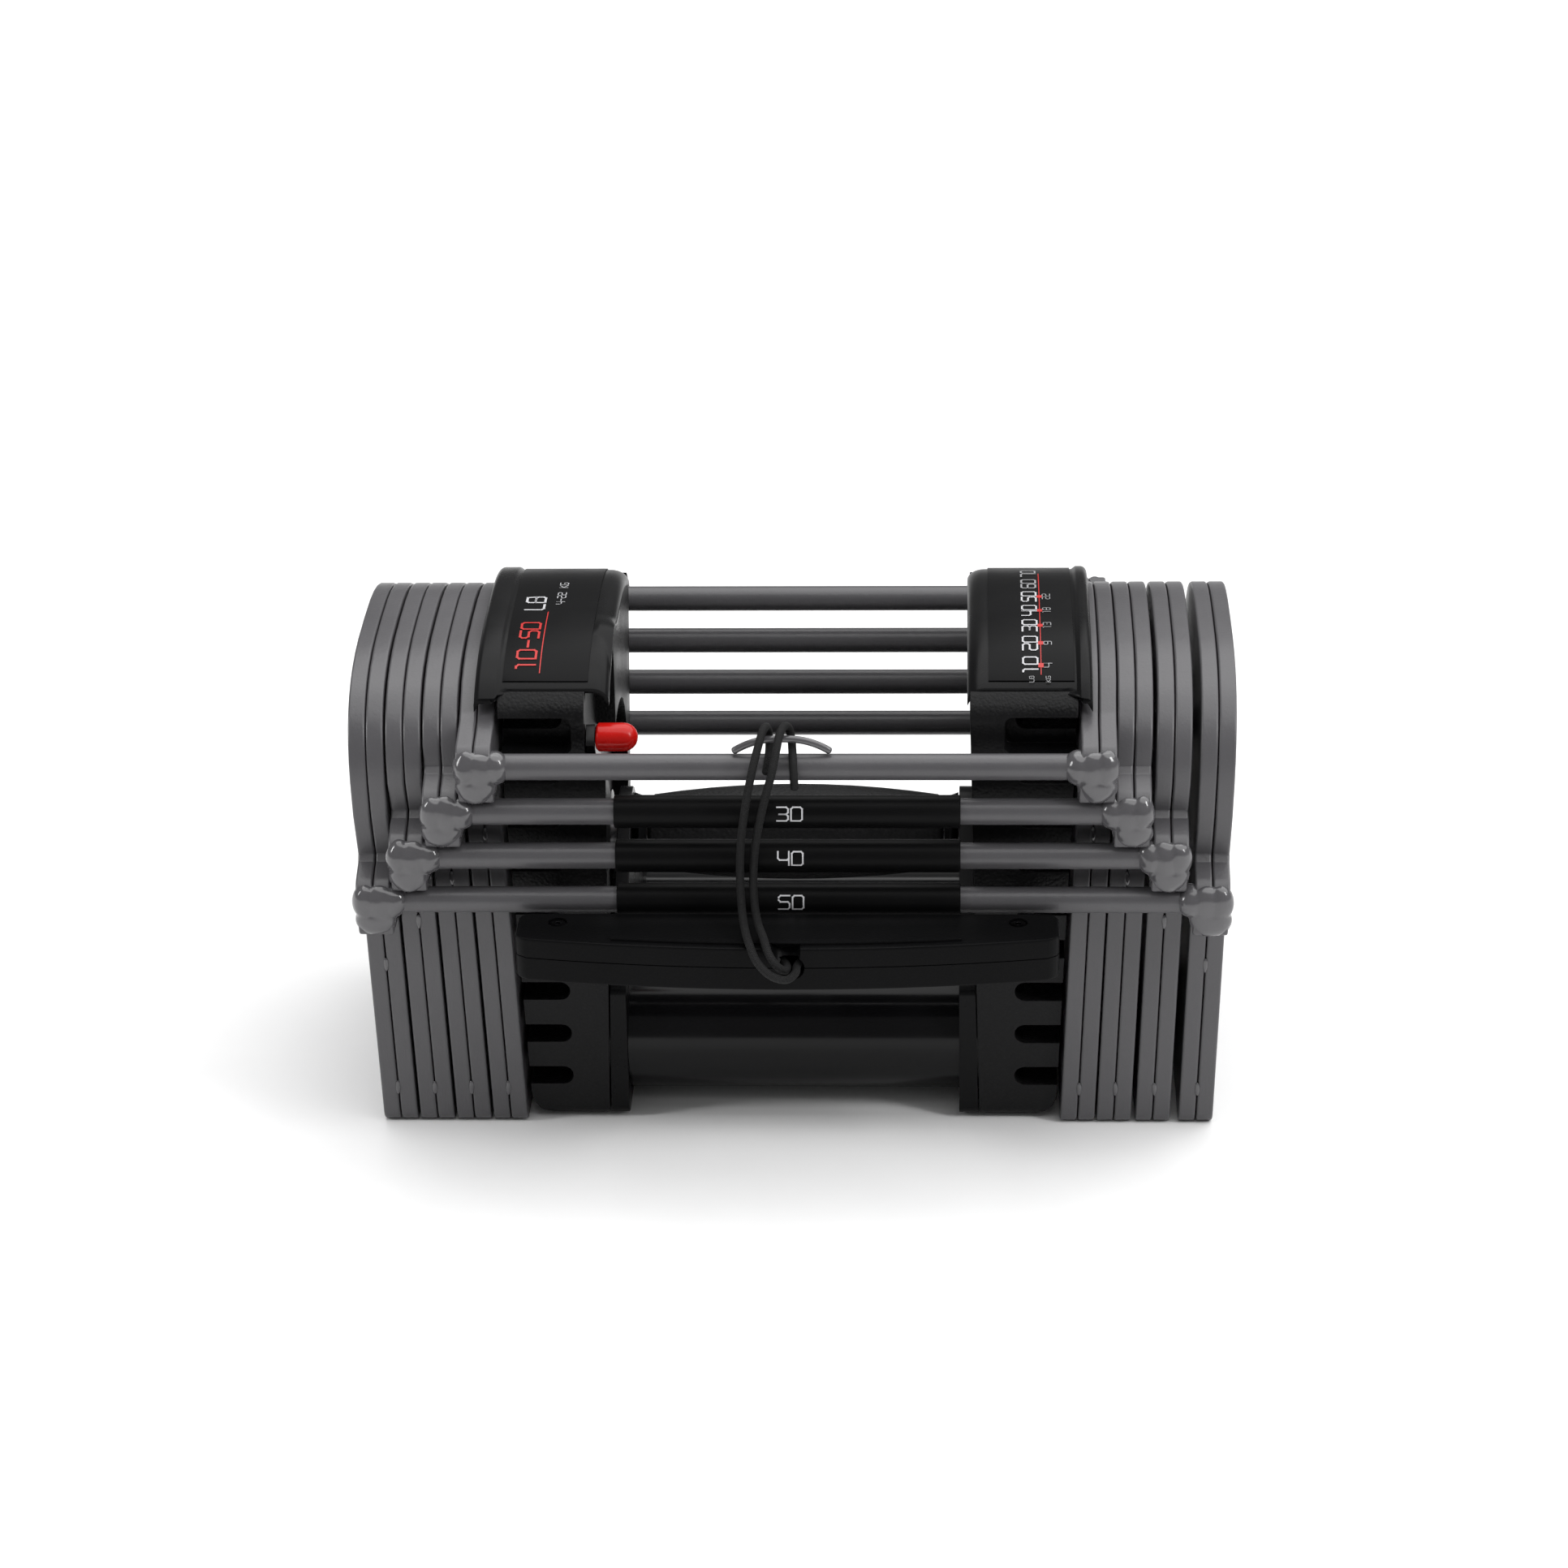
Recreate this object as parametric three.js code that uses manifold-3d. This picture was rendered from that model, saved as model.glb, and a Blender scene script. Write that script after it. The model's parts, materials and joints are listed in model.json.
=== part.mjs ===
// Adjustable block dumbbell: four nested weight rings, a core with the grip, and a selector pin.
// Millimetres. X runs along the grip, the selector pin is pulled out towards -Y, Z is up.
import * as THREE from 'three';
import { mergeVertices } from 'three/addons/utils/BufferGeometryUtils.js';
import Module from 'manifold-3d';

const wasm = await Module();
wasm.setup();

// ---- general sizes
const GAP = 0.3; // clearance between pieces that touch
const CUT = 1; // how far a cutter runs past a face
const QUARTER = Math.PI / 2;
const DEGREE = Math.PI / 180;

// ---- rings
const RING_NAMES = ['20', '30', '40', '50']; // pounds a side pair is marked with, inner ring first
const PLATE_T = 5.85; // thickness of one plate
const PAIR_T = 2 * PLATE_T + GAP;
const NEST_LEFT = 93.7; // inner face of the innermost plate at the floor, left
const NEST_RIGHT = 93.3; // and right
const LEFT_PLAY = 0.95; // side gap between two rings, left
const RIGHT_PLAY = [0.65, 1.6, 3.05]; // side gaps on the right, where the rings stand apart
const LEAN = 0.0381; // outward lean of the innermost ring, per unit of height
const LEAN_STEP = 0.0015; // each outer ring leans this much less
const PLATE_FRONT = 63; // half depth of a plate near the floor
const PLATE_BEVEL = 0.5;
const CROWN_A = 65.9; // half depth of the crown
const CROWN_Z = 121; // height at which the crown starts
const CROWN_H = 45.8; // height of the crown above its start
const CROWN_N = 2.9; // exponent of the crown's rounded-square curve
const CROWN_STEPS = 11;
const CORNER_R = 4;

// ---- rails
const RAIL_Y = 72.6; // front and rear rails from the middle
const RAIL_R = 4.5;
const RAIL_DROP = 24; // innermost ring's rails below the crown's top
const RAIL_Z = CROWN_Z + CROWN_H - RAIL_DROP;
const PITCH = 16.64; // rail to rail, and slot to slot
const RAIL_SIDES = 20;
const EAR_REACH = 77.5; // how far the plates' ears stand out
const EAR_NOSE_R = 7;
const EAR_R = 2;
const EAR_TOP = 1.5; // nose centre above the rail's centre
const SLEEVE_T = 0.85; // wall of the printed sleeves
const SLEEVE_BORE = RAIL_R + GAP;
const SLEEVE_R = SLEEVE_BORE + SLEEVE_T;
const SLEEVE_HALF = 58.5;

// ---- eyelet on the innermost front rail
const WIRE_R = 1.25;
const EYE_LEFT = -17.4;
const EYE_RIGHT = 14.5;
const EYE_RISE = 10.4; // top of the wire's centre line above the rail's axis
const EYE_STEPS = 12;

// ---- towers
const TOWER_Y = 59.7;
const TOWER_Z = 1;
const TOWER_CLEAR = 1; // side gap to the innermost plates
const TOWER_IN_LOW = 65;
const TOWER_IN_HIGH = 61.7;
const TOWER_FOOT_OUT = 10; // foot radius, outboard
const TOWER_FOOT_IN = 4;
const SHOULDER_RISE = 9.2; // shoulder above the innermost rails
const SHOULDER_Z = RAIL_Z + SHOULDER_RISE;
const TOWER_HIGH = SHOULDER_Z + 4; // height at which the inner edge reaches TOWER_IN_HIGH
const SHOULDER_DROP = 9.6;
const SLOT_H = 6.9;
const SLOT_IN = 77.3; // inner end of the selector slots
const SLOTS_ABOVE = 4; // selector slots above the one the pin is in
const SLOTS_BELOW = 4;
const SLOT_DROP = 9; // slot centre below the rail it locks
const WINDOW_IN = 73.5; // recess round the topmost slot's mouths
const WINDOW_UP = 4.1;
const WINDOW_DOWN = 8.9;
const WINDOW_DEPTH = 9;
const WINDOW_R = 2.5;

// ---- domes over the towers
const LIP_Y = 52;
const DOME_T = 3.7;
const DOME_CLEAR = 0.5; // over the innermost plates
const DOME_IN = 60.8;
const DOME_OUT = 106.5;
const DOME_OUT_RIGHT = 103.2;
const RIM_Y = 54.5; // how far the flange over the plates reaches
const FILM_T = 0.35;
const FILM_IN = 68;
const FILM_OUT = 97;
const FILM_Y = 49.5;

// ---- inner walls
const WALL_IN = 58;
const WALL_FOOT_Y = 59.5;
const WALL_FOOT_Z = 48;
const WALL_WAIST_Y = 51;
const BOSS_R = 16.2; // rounded top of the wall, about the grip's axis

// ---- grip and cross tubes
const GRIP_Z = 83.5;
const TUBE_R = 9; // steel tube under the grip
const TUBE_HALF = 72;
const GRIP_R = 17;
const GRIP_END_R = 13.3;
const GRIP_HALF = 52.5;
const COLLAR_R = 14;
const CROSS_Y = 35.5;
const CROSS_R = 22.8;
const CROSS_Z = CROSS_R + 2.8;
const CROSS_BORE = 17.5;
const CROSS_HALF = 76.3;
const ADDER_R = CROSS_BORE - 0.4;
const ADDER_HALF = 75.5;
const ROUND_SIDES = 32;

// ---- retaining lever, left tower only
const LEVER_R = 85.3; // cap's centre from the grip's axis
const LEVER_ANGLE = 41.5 * DEGREE; // forward of upright
const LEVER_SWING = 22 * DEGREE;
const LEVER_MARGIN = 7 * DEGREE;
const CAP_MARGIN = 4.5 * DEGREE;
const LEVER_IN = 65.6; // the arm's face towards the grip
const LEVER_T = 3.1;
const LEVER_W = 12; // at the hub
const LEVER_TIP_W = 8;
const HUB_R = 15;
const HUB_POCKET_R = 48; // recess the arm's root swings in
const STUB_R = 2;
const CAP_R = 4.95;
const CAP_IN = -51;

// ---- selector pin
const PIN_Z = RAIL_Z - 3 * PITCH - SLOT_DROP;
const PRONG_X = SLOT_IN + SLOT_H / 2;
const PRONG_R = 2.9;
const PRONG_FRONT = -92;
const PRONG_TIP = 77;
const HANDLE_HALF = 91.8;
const HANDLE_SIDE_Y = -98; // front edge at the ends
const HANDLE_BOW = 8; // how much further the middle stands out
const HANDLE_REAR = -79.2;
const HANDLE_TOP = PIN_Z + 7.3;
const HANDLE_BOTTOM = PIN_Z - 8.7;
const HANDLE_CORNER = 4;
const HANDLE_BEVEL = 1.2;
const RIB_H = 1;
const RIB_W = 2.4;
const RIB_HALF = 59;
const RIB_INSET = 2.6;
const HOLE_X = 2;
const HOLE_R = 4.3;
const CHAMBER = { x: 8.6, front: -103.2, rear: -86, h: 5.4 };
const SCOOP_R = 5;
const SCREW_X = 78;
const SCREW_Y = -86.4;
const SCREW_HEAD_R = 3;
const SCREW_HEAD_H = 1.8;
const SCREW_SHANK_R = 1.3;

// ---- elastic tether
const CORD_R = 1.4;
const CORD_SIDES = 8;
const CORD_STEPS = 78;
const CORD_ROUTE = [
  [2.9, -80.2, 138.5], [2.7, -79.6, 143], [2.4, -77.3, 148.2], [2.1, -72.8, 149.5],
  [1.7, -68.9, 151.6], [0.9, -68.6, 155.2], [-0.4, -71.6, 157.4], [-1.8, -75.8, 156.6],
  [-2.9, -79.4, 152.6], [-4.5, -82.2, 145], [-7.4, -82.8, 134], [-10.4, -82.6, 119],
  [-11.4, -84, 106], [-10.8, -89, 98.4], [-9.4, -96.5, 95.6], [-7.4, -104.4, 94.6],
  [-5.4, -109.4, 90.8], [-2.6, -110, 86.6], [-0.2, -108.4, 84.3], [0.4, -104.6, PIN_Z],
  [-1.4, -99.6, PIN_Z], [-3.6, -95, PIN_Z], [-1.9, -90.8, PIN_Z], [2, -89.2, PIN_Z],
  [5.9, -90.8, PIN_Z], [7.6, -95, PIN_Z], [5.4, -99.6, PIN_Z], [3.7, -104.4, PIN_Z],
  [3.3, -108.6, 83.4], [0.4, -112.2, 82.8], [-4.6, -113, 84.6], [-9.4, -110.8, 88.8],
  [-12.4, -105.4, 93.7], [-14.2, -97, 96], [-15.2, -89.5, 98.6], [-15.8, -84.9, 106],
  [-15.4, -83.4, 119], [-13.4, -83, 134], [-11, -81.8, 146], [-9, -78.8, 153.4],
  [-7.6, -75, 157.1], [-6.6, -71.2, 157], [-6, -68.7, 154], [-5.7, -69.6, 150.9],
  [-5.6, -73.2, 149.3], [-5.8, -76.9, 147.6], [-6.6, -78.9, 143.6],
];

// ---- looks
const COAT = { color: '#5d5c60', roughness: 0.42, metalness: 0.35 };
const BLACK = { color: '#141416', roughness: 0.5, metalness: 0 };
const GLOSS = { color: '#0c0c0e', roughness: 0.15, metalness: 0 };
const RUBBER = { color: '#1b1b1d', roughness: 0.8, metalness: 0 };
const STEEL = { color: '#9a9a9e', roughness: 0.35, metalness: 1 };
const RED = { color: '#c4160e', roughness: 0.35, metalness: 0 };

const group = new THREE.Group();
group.name = 'adjustable_dumbbell';

// ---------------------------------------------------------------- helpers
const YZ = new THREE.Matrix4().makeBasis(
  new THREE.Vector3(0, 1, 0), new THREE.Vector3(0, 0, 1), new THREE.Vector3(1, 0, 0));
const XZ = new THREE.Matrix4().makeBasis(
  new THREE.Vector3(1, 0, 0), new THREE.Vector3(0, 0, 1), new THREE.Vector3(0, -1, 0));

function bare(geometry) {
  const g = geometry.index ? geometry.toNonIndexed() : geometry.clone();
  g.deleteAttribute('normal');
  g.deleteAttribute('uv');
  return g;
}

function solid(geometry) {
  const g = mergeVertices(bare(geometry), 1e-4);
  return new wasm.Manifold(new wasm.Mesh({
    numProp: 3,
    vertProperties: new Float32Array(g.attributes.position.array),
    triVerts: new Uint32Array(g.index.array),
  }));
}

function geometryOf(manifold) {
  const mesh = manifold.getMesh();
  const g = new THREE.BufferGeometry();
  g.setAttribute('position', new THREE.BufferAttribute(new Float32Array(mesh.vertProperties), 3));
  g.setIndex(new THREE.BufferAttribute(new Uint32Array(mesh.triVerts), 1));
  return g;
}

function cut(geometry, ...cutters) {
  return geometryOf(cutters.reduce((left, cutter) => left.subtract(solid(cutter)), solid(geometry)));
}

// The same piece for the other side, mirrored in X.
function mirrored(geometry) {
  const g = bare(geometry);
  g.applyMatrix4(new THREE.Matrix4().makeScale(-1, 1, 1));
  const p = g.getAttribute('position');
  const a = new THREE.Vector3();
  const b = new THREE.Vector3();
  for (let i = 0; i < p.count; i += 3) {
    a.fromBufferAttribute(p, i + 1);
    b.fromBufferAttribute(p, i + 2);
    p.setXYZ(i + 1, b.x, b.y, b.z);
    p.setXYZ(i + 2, a.x, a.y, a.z);
  }
  return g;
}

function add(name, geometry, look) {
  const g = geometry.getAttribute('normal') ? geometry : bare(geometry);
  g.computeVertexNormals();
  const mesh = new THREE.Mesh(g, new THREE.MeshStandardMaterial(look));
  mesh.name = name;
  group.add(mesh);
  return mesh;
}

// A flat outline extruded along +X from x0, its points being (y, z).
function alongX(points, x0, length, bevel = 0) {
  const shape = new THREE.Shape(points.map(([y, z]) => new THREE.Vector2(y, z)));
  const g = new THREE.ExtrudeGeometry(shape, {
    depth: length - 2 * bevel,
    bevelEnabled: bevel > 0,
    bevelThickness: bevel,
    bevelSize: bevel,
    bevelOffset: -bevel,
    bevelSegments: 1,
  });
  return g.applyMatrix4(YZ).translate(x0 + bevel, 0, 0);
}

// A flat outline extruded through the depth, its points being (x, z), from y0 back to y1.
function alongY(points, y0, y1) {
  const shape = new THREE.Shape(points.map(([x, z]) => new THREE.Vector2(x, z)));
  const g = new THREE.ExtrudeGeometry(shape, { depth: y1 - y0, bevelEnabled: false });
  return g.applyMatrix4(XZ).translate(0, y1, 0);
}

function cylinderX(radius, x0, x1, y, z, sides = ROUND_SIDES) {
  const g = new THREE.CylinderGeometry(radius, radius, x1 - x0, sides);
  return g.rotateZ(QUARTER).translate((x0 + x1) / 2, y, z);
}

function cylinderY(radius, y0, y1, x, z, sides = ROUND_SIDES) {
  return new THREE.CylinderGeometry(radius, radius, y1 - y0, sides).translate(x, (y0 + y1) / 2, z);
}

function cylinderZ(radius, z0, z1, x, y, sides = ROUND_SIDES) {
  const g = new THREE.CylinderGeometry(radius, radius, z1 - z0, sides);
  return g.rotateX(QUARTER).translate(x, y, (z0 + z1) / 2);
}

// A closed profile of (radius, x) turned about an X axis at height z and depth y.
function turnedX(profile, y, z, sides = ROUND_SIDES) {
  const g = new THREE.LatheGeometry(profile.map(([r, x]) => new THREE.Vector2(r, x)), sides);
  return g.rotateZ(-QUARTER).translate(0, y, z);
}

function box(x0, x1, y0, y1, z0, z1) {
  const g = new THREE.BoxGeometry(x1 - x0, y1 - y0, z1 - z0);
  return g.translate((x0 + x1) / 2, (y0 + y1) / 2, (z0 + z1) / 2);
}

function arc(cx, cy, r, from, to, steps) {
  const points = [];
  for (let i = 0; i <= steps; i += 1) {
    const t = (from + ((to - from) * i) / steps) * DEGREE;
    points.push([cx + r * Math.cos(t), cy + r * Math.sin(t)]);
  }
  return points;
}

// Both halves of an outline given from the middle of its underside to the middle of its top.
function bothHalves(half) {
  const other = half.slice(1, -1).reverse().map(([y, z]) => [-y, z]);
  return [...half, ...other];
}

// The crown's curve, offset outwards by grow, as height over a depth y.
function crownHeight(y, grow) {
  const ratio = Math.min(1, Math.abs(y) / (CROWN_A + grow));
  return CROWN_Z + (CROWN_H + grow) * (1 - ratio ** CROWN_N) ** (1 / CROWN_N);
}

// Points on the crown's curve from depth `from` to depth `to`.
function crown(from, to, grow, steps) {
  const points = [];
  for (let i = 0; i <= steps; i += 1) {
    const y = from + ((to - from) * i) / steps;
    points.push([y, crownHeight(y, grow)]);
  }
  return points;
}

function leaned(geometry, slope) {
  const shear = new THREE.Matrix4();
  shear.elements[8] = slope;
  return bare(geometry).applyMatrix4(shear);
}

// ---------------------------------------------------------------- rings
const railHeight = (k) => RAIL_Z - k * PITCH;
const leanOf = (k) => LEAN - k * LEAN_STEP;
const leftIn = (k) => NEST_LEFT + k * (PAIR_T + LEFT_PLAY);
const rightIn = (k) => NEST_RIGHT + k * PAIR_T + RIGHT_PLAY.slice(0, k).reduce((a, b) => a + b, 0);

// Outline of a plate: a straight front, an ear that carries the rail and hooks over the next
// ring's rail, a shallow dip above the ear, and the rounded crown.
function plateOutline(k) {
  const z = railHeight(k);
  const earBottom = z - PITCH + RAIL_R + GAP;
  const noseY = EAR_REACH - EAR_NOSE_R;
  const half = [
    [0, 0],
    ...arc(PLATE_FRONT - CORNER_R, CORNER_R, CORNER_R, -90, 0, 4),
    [PLATE_FRONT, earBottom - EAR_R],
    [PLATE_FRONT + EAR_R / 2, earBottom],
    ...arc(EAR_REACH - EAR_R, earBottom + EAR_R, EAR_R, -90, 0, 3),
    ...arc(noseY, z + EAR_TOP, EAR_NOSE_R, 0, 75, 5),
  ];
  const dip = z + EAR_TOP + EAR_NOSE_R + EAR_R;
  const edge = (height) => {
    if (height <= CROWN_Z) return CROWN_A - ((CROWN_A - PLATE_FRONT) * (CROWN_Z - height)) / PITCH;
    return CROWN_A * (1 - ((height - CROWN_Z) / CROWN_H) ** CROWN_N) ** (1 / CROWN_N);
  };
  half.push([Math.min(edge(dip), PLATE_FRONT) + EAR_R, dip]);
  half.push([Math.min(edge(dip + EAR_R), PLATE_FRONT), dip + EAR_R]);
  const rejoin = dip + PITCH / 2;
  if (rejoin < CROWN_Z) half.push([CROWN_A, CROWN_Z]);
  for (let i = 0; i <= CROWN_STEPS; i += 1) {
    const t = (QUARTER * i) / CROWN_STEPS;
    const y = CROWN_A * Math.cos(t) ** (2 / CROWN_N);
    const height = CROWN_Z + CROWN_H * Math.sin(t) ** (2 / CROWN_N);
    if (height > Math.max(rejoin, CROWN_Z + CORNER_R)) half.push([i === CROWN_STEPS ? 0 : y, height]);
  }
  return bothHalves(half);
}

RING_NAMES.forEach((ring, k) => {
  const outline = plateOutline(k);
  const slope = leanOf(k);
  ['inner', 'outer'].forEach((place, i) => {
    const step = i * (PLATE_T + GAP);
    const right = leaned(alongX(outline, rightIn(k) + step, PLATE_T, PLATE_BEVEL), slope);
    const left = leaned(alongX(outline, leftIn(k) + step, PLATE_T, PLATE_BEVEL), slope);
    add(`ring_${ring}_plate_right_${place}`, right, COAT);
    add(`ring_${ring}_plate_left_${place}`, mirrored(left), COAT);
  });
  // A rail runs from plate to plate, its ends cut to the plates' lean.
  const z = railHeight(k);
  const reach = slope * (z - RAIL_R) - GAP;
  const x0 = -(leftIn(k) + reach);
  const x1 = rightIn(k) + reach;
  add(`ring_${ring}_rail_front`, cylinderX(RAIL_R, x0, x1, -RAIL_Y, z, RAIL_SIDES), COAT);
  add(`ring_${ring}_rail_rear`, cylinderX(RAIL_R, x0, x1, RAIL_Y, z, RAIL_SIDES), COAT);
  if (k > 0) {
    const tube = [
      [SLEEVE_BORE, -SLEEVE_HALF], [SLEEVE_R, -SLEEVE_HALF],
      [SLEEVE_R, SLEEVE_HALF], [SLEEVE_BORE, SLEEVE_HALF], [SLEEVE_BORE, -SLEEVE_HALF],
    ];
    add(`ring_${ring}_sleeve`, turnedX(tube, -RAIL_Y, z, RAIL_SIDES + 4), RUBBER);
  }
});

function roundSection(radius, sides) {
  const points = [];
  for (let i = 0; i < sides; i += 1) {
    const t = (2 * Math.PI * i) / sides;
    points.push(new THREE.Vector2(radius * Math.cos(t), radius * Math.sin(t)));
  }
  return new THREE.Shape(points);
}

function swept(route, radius, sides, steps) {
  const path = new THREE.CatmullRomCurve3(route.map((p) => new THREE.Vector3(...p)), false, 'centripetal');
  return new THREE.ExtrudeGeometry(roundSection(radius, sides), { steps, extrudePath: path });
}

// The eyelet is a bent wire whose two feet stand on the rail.
const eyeFoot = RAIL_R + WIRE_R + GAP;
const eyeMid = (EYE_LEFT + EYE_RIGHT) / 2;
const eyeHalf = (EYE_RIGHT - EYE_LEFT) / 2;
const eyeRoute = [];
for (let i = 0; i <= EYE_STEPS; i += 1) {
  const t = -1 + (2 * i) / EYE_STEPS;
  const rise = eyeFoot + (EYE_RISE - eyeFoot) * (1 - Math.abs(t) ** 2.4);
  eyeRoute.push([eyeMid + eyeHalf * t, -RAIL_Y, RAIL_Z + rise]);
}
add('ring_20_eyelet', swept(eyeRoute, WIRE_R, CORD_SIDES + 2, EYE_STEPS * 2), COAT);

// ---------------------------------------------------------------- towers
const towerOut = (z) => NEST_RIGHT - TOWER_CLEAR + LEAN * z;
const towerDrift = (TOWER_IN_HIGH - TOWER_IN_LOW) / (TOWER_HIGH - TOWER_Z);
const towerIn = (z) => TOWER_IN_LOW + towerDrift * (z - TOWER_Z);

function towerFront() {
  const bottomOut = towerOut(TOWER_Z);
  const top = CROWN_Z + CROWN_H + PITCH;
  return [
    ...arc(TOWER_IN_LOW + TOWER_FOOT_IN, TOWER_Z + TOWER_FOOT_IN, TOWER_FOOT_IN, 180, 270, 4),
    ...arc(bottomOut - TOWER_FOOT_OUT, TOWER_Z + TOWER_FOOT_OUT, TOWER_FOOT_OUT, -90, 0, 6),
    [towerOut(top), top],
    [towerIn(TOWER_HIGH), top],
    [towerIn(TOWER_HIGH), TOWER_HIGH],
  ];
}

function towerSide() {
  const step = LIP_Y + GAP;
  const half = [
    [0, TOWER_Z],
    ...arc(TOWER_Y - TOWER_FOOT_IN, TOWER_Z + TOWER_FOOT_IN, TOWER_FOOT_IN, -90, 0, 3),
    [TOWER_Y, SHOULDER_Z],
    [TOWER_Y - SHOULDER_DROP / 10, SHOULDER_Z + SHOULDER_DROP / 2.4],
    [TOWER_Y - SHOULDER_DROP / 3, SHOULDER_Z + SHOULDER_DROP / 1.4],
    [step, SHOULDER_Z + SHOULDER_DROP],
    ...crown(step, 0, DOME_CLEAR - GAP, CROWN_STEPS),
  ];
  return bothHalves(half);
}

function slotCutter(z) {
  const r = SLOT_H / 2;
  const far = DOME_OUT + CUT;
  const outline = [...arc(SLOT_IN + r, z, r, 90, 270, 8), [far, z - r], [far, z + r]];
  return alongY(outline, -TOWER_Y - CUT, TOWER_Y + CUT);
}

// The topmost slot opens out at both its mouths.
function windowCutters(z) {
  const r = WINDOW_R;
  const far = DOME_OUT + CUT;
  const outline = [
    ...arc(WINDOW_IN + r, z + WINDOW_UP - r, r, 90, 180, 4),
    ...arc(WINDOW_IN + r, z - WINDOW_DOWN + r, r, 180, 270, 4),
    [far, z - WINDOW_DOWN], [far, z + WINDOW_UP],
  ];
  const floor = TOWER_Y - WINDOW_DEPTH;
  return [alongY(outline, -TOWER_Y - CUT, -floor), alongY(outline, floor, TOWER_Y + CUT)];
}

function crossCutters(x0, x1) {
  return [-CROSS_Y, CROSS_Y].map((y) => cylinderX(CROSS_R + GAP, x0, x1, y, CROSS_Z));
}

// The wedge about the grip's axis that the lever's arm sweeps through, on the left (-X) side.
function sweptWedge(x0, x1, inner, outer, margin) {
  const from = LEVER_ANGLE - LEVER_SWING - margin;
  const to = LEVER_ANGLE + margin;
  const steps = 8;
  const points = [];
  for (let i = 0; i <= steps; i += 1) {
    const t = from + ((to - from) * i) / steps;
    points.push([-outer * Math.sin(t), GRIP_Z + outer * Math.cos(t)]);
  }
  for (let i = steps; i >= 0; i -= 1) {
    const t = from + ((to - from) * i) / steps;
    points.push([-inner * Math.sin(t), GRIP_Z + inner * Math.cos(t)]);
  }
  return alongX(points, x0, x1 - x0);
}

const slotHeights = [];
for (let i = -SLOTS_BELOW; i <= SLOTS_ABOVE; i += 1) slotHeights.push(PIN_Z + i * PITCH);

const towerBlock = geometryOf(
  solid(alongY(towerFront(), -TOWER_Y, TOWER_Y))
    .intersect(solid(alongX(towerSide(), WALL_IN, DOME_OUT - WALL_IN))));
const towerBody = cut(
  towerBlock,
  ...slotHeights.map(slotCutter),
  ...windowCutters(slotHeights.at(-1)),
  ...crossCutters(WALL_IN, CROSS_HALF + GAP),
  cylinderX(TUBE_R + GAP, WALL_IN, TUBE_HALF + GAP, 0, GRIP_Z),
);
const leverFar = LEVER_IN + LEVER_T + GAP;
add('tower_right', towerBody, BLACK);
add('tower_left', cut(
  mirrored(towerBody),
  sweptWedge(-leverFar, -WALL_IN, HUB_POCKET_R - CUT, LEVER_R + PITCH, LEVER_MARGIN),
  cylinderX(HUB_POCKET_R, -leverFar, -WALL_IN, 0, GRIP_Z),
), BLACK);

// ---------------------------------------------------------------- domes
// A dome is a curved cap whose flange stands out over the innermost plates.
function domeOutline(lip) {
  return [
    ...crown(-lip, lip, DOME_CLEAR, 2 * CROWN_STEPS),
    ...crown(lip, -lip, DOME_CLEAR + DOME_T, 2 * CROWN_STEPS),
  ];
}

// The flange reaches lower where it stands clear of the tower.
function dome(out) {
  const rimIn = towerOut(CROWN_Z + CROWN_H) + GAP;
  const cap = solid(alongX(domeOutline(LIP_Y), DOME_IN, out - DOME_IN));
  return geometryOf(cap.add(solid(alongX(domeOutline(RIM_Y), rimIn, out - rimIn))));
}

function filmOutline() {
  const low = DOME_CLEAR + DOME_T + GAP / 3;
  return [
    ...crown(-FILM_Y, FILM_Y, low, 2 * CROWN_STEPS),
    ...crown(FILM_Y, -FILM_Y, low + FILM_T, 2 * CROWN_STEPS),
  ];
}

add('dome_right', dome(DOME_OUT_RIGHT), BLACK);
// The left dome is relieved inside for the lever's cap.
const capSweep = LEVER_R - STUB_R + CAP_R + GAP;
add('dome_left', cut(
  mirrored(dome(DOME_OUT)),
  sweptWedge(-LEVER_IN - GAP, -DOME_IN + CUT, HUB_POCKET_R, capSweep, CAP_MARGIN),
), BLACK);
add('label_right', alongX(filmOutline(), FILM_IN, FILM_OUT - FILM_IN), GLOSS);
add('label_left', mirrored(alongX(filmOutline(), FILM_IN, FILM_OUT - FILM_IN)), GLOSS);

// ---------------------------------------------------------------- inner walls
function wallOutline() {
  const half = [
    [0, TOWER_Z],
    ...arc(WALL_FOOT_Y - CORNER_R, TOWER_Z + CORNER_R, CORNER_R, -90, 0, 4),
    ...arc(WALL_FOOT_Y - CORNER_R, WALL_FOOT_Z, CORNER_R, 0, 60, 3),
    [WALL_WAIST_Y, WALL_FOOT_Z + CORNER_R + CORNER_R],
    ...arc(0, GRIP_Z, BOSS_R, 30, 90, 5),
  ];
  return bothHalves(half);
}

// A wall fills the space up to its tower's sloping face.
const wallFar = TOWER_IN_LOW + CUT;
const besideTower = alongY([
  [towerIn(0) - GAP, -CUT], [wallFar, -CUT],
  [wallFar, TOWER_HIGH], [towerIn(TOWER_HIGH) - GAP, TOWER_HIGH],
], -TOWER_Y - CUT, TOWER_Y + CUT);
const wall = cut(
  alongX(wallOutline(), WALL_IN, TOWER_IN_LOW - WALL_IN),
  besideTower,
  ...crossCutters(WALL_IN - CUT, wallFar),
  cylinderX(TUBE_R + GAP, WALL_IN - CUT, wallFar, 0, GRIP_Z),
);
add('inner_wall_right', wall, BLACK);
add('inner_wall_left', mirrored(wall), BLACK);

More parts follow.
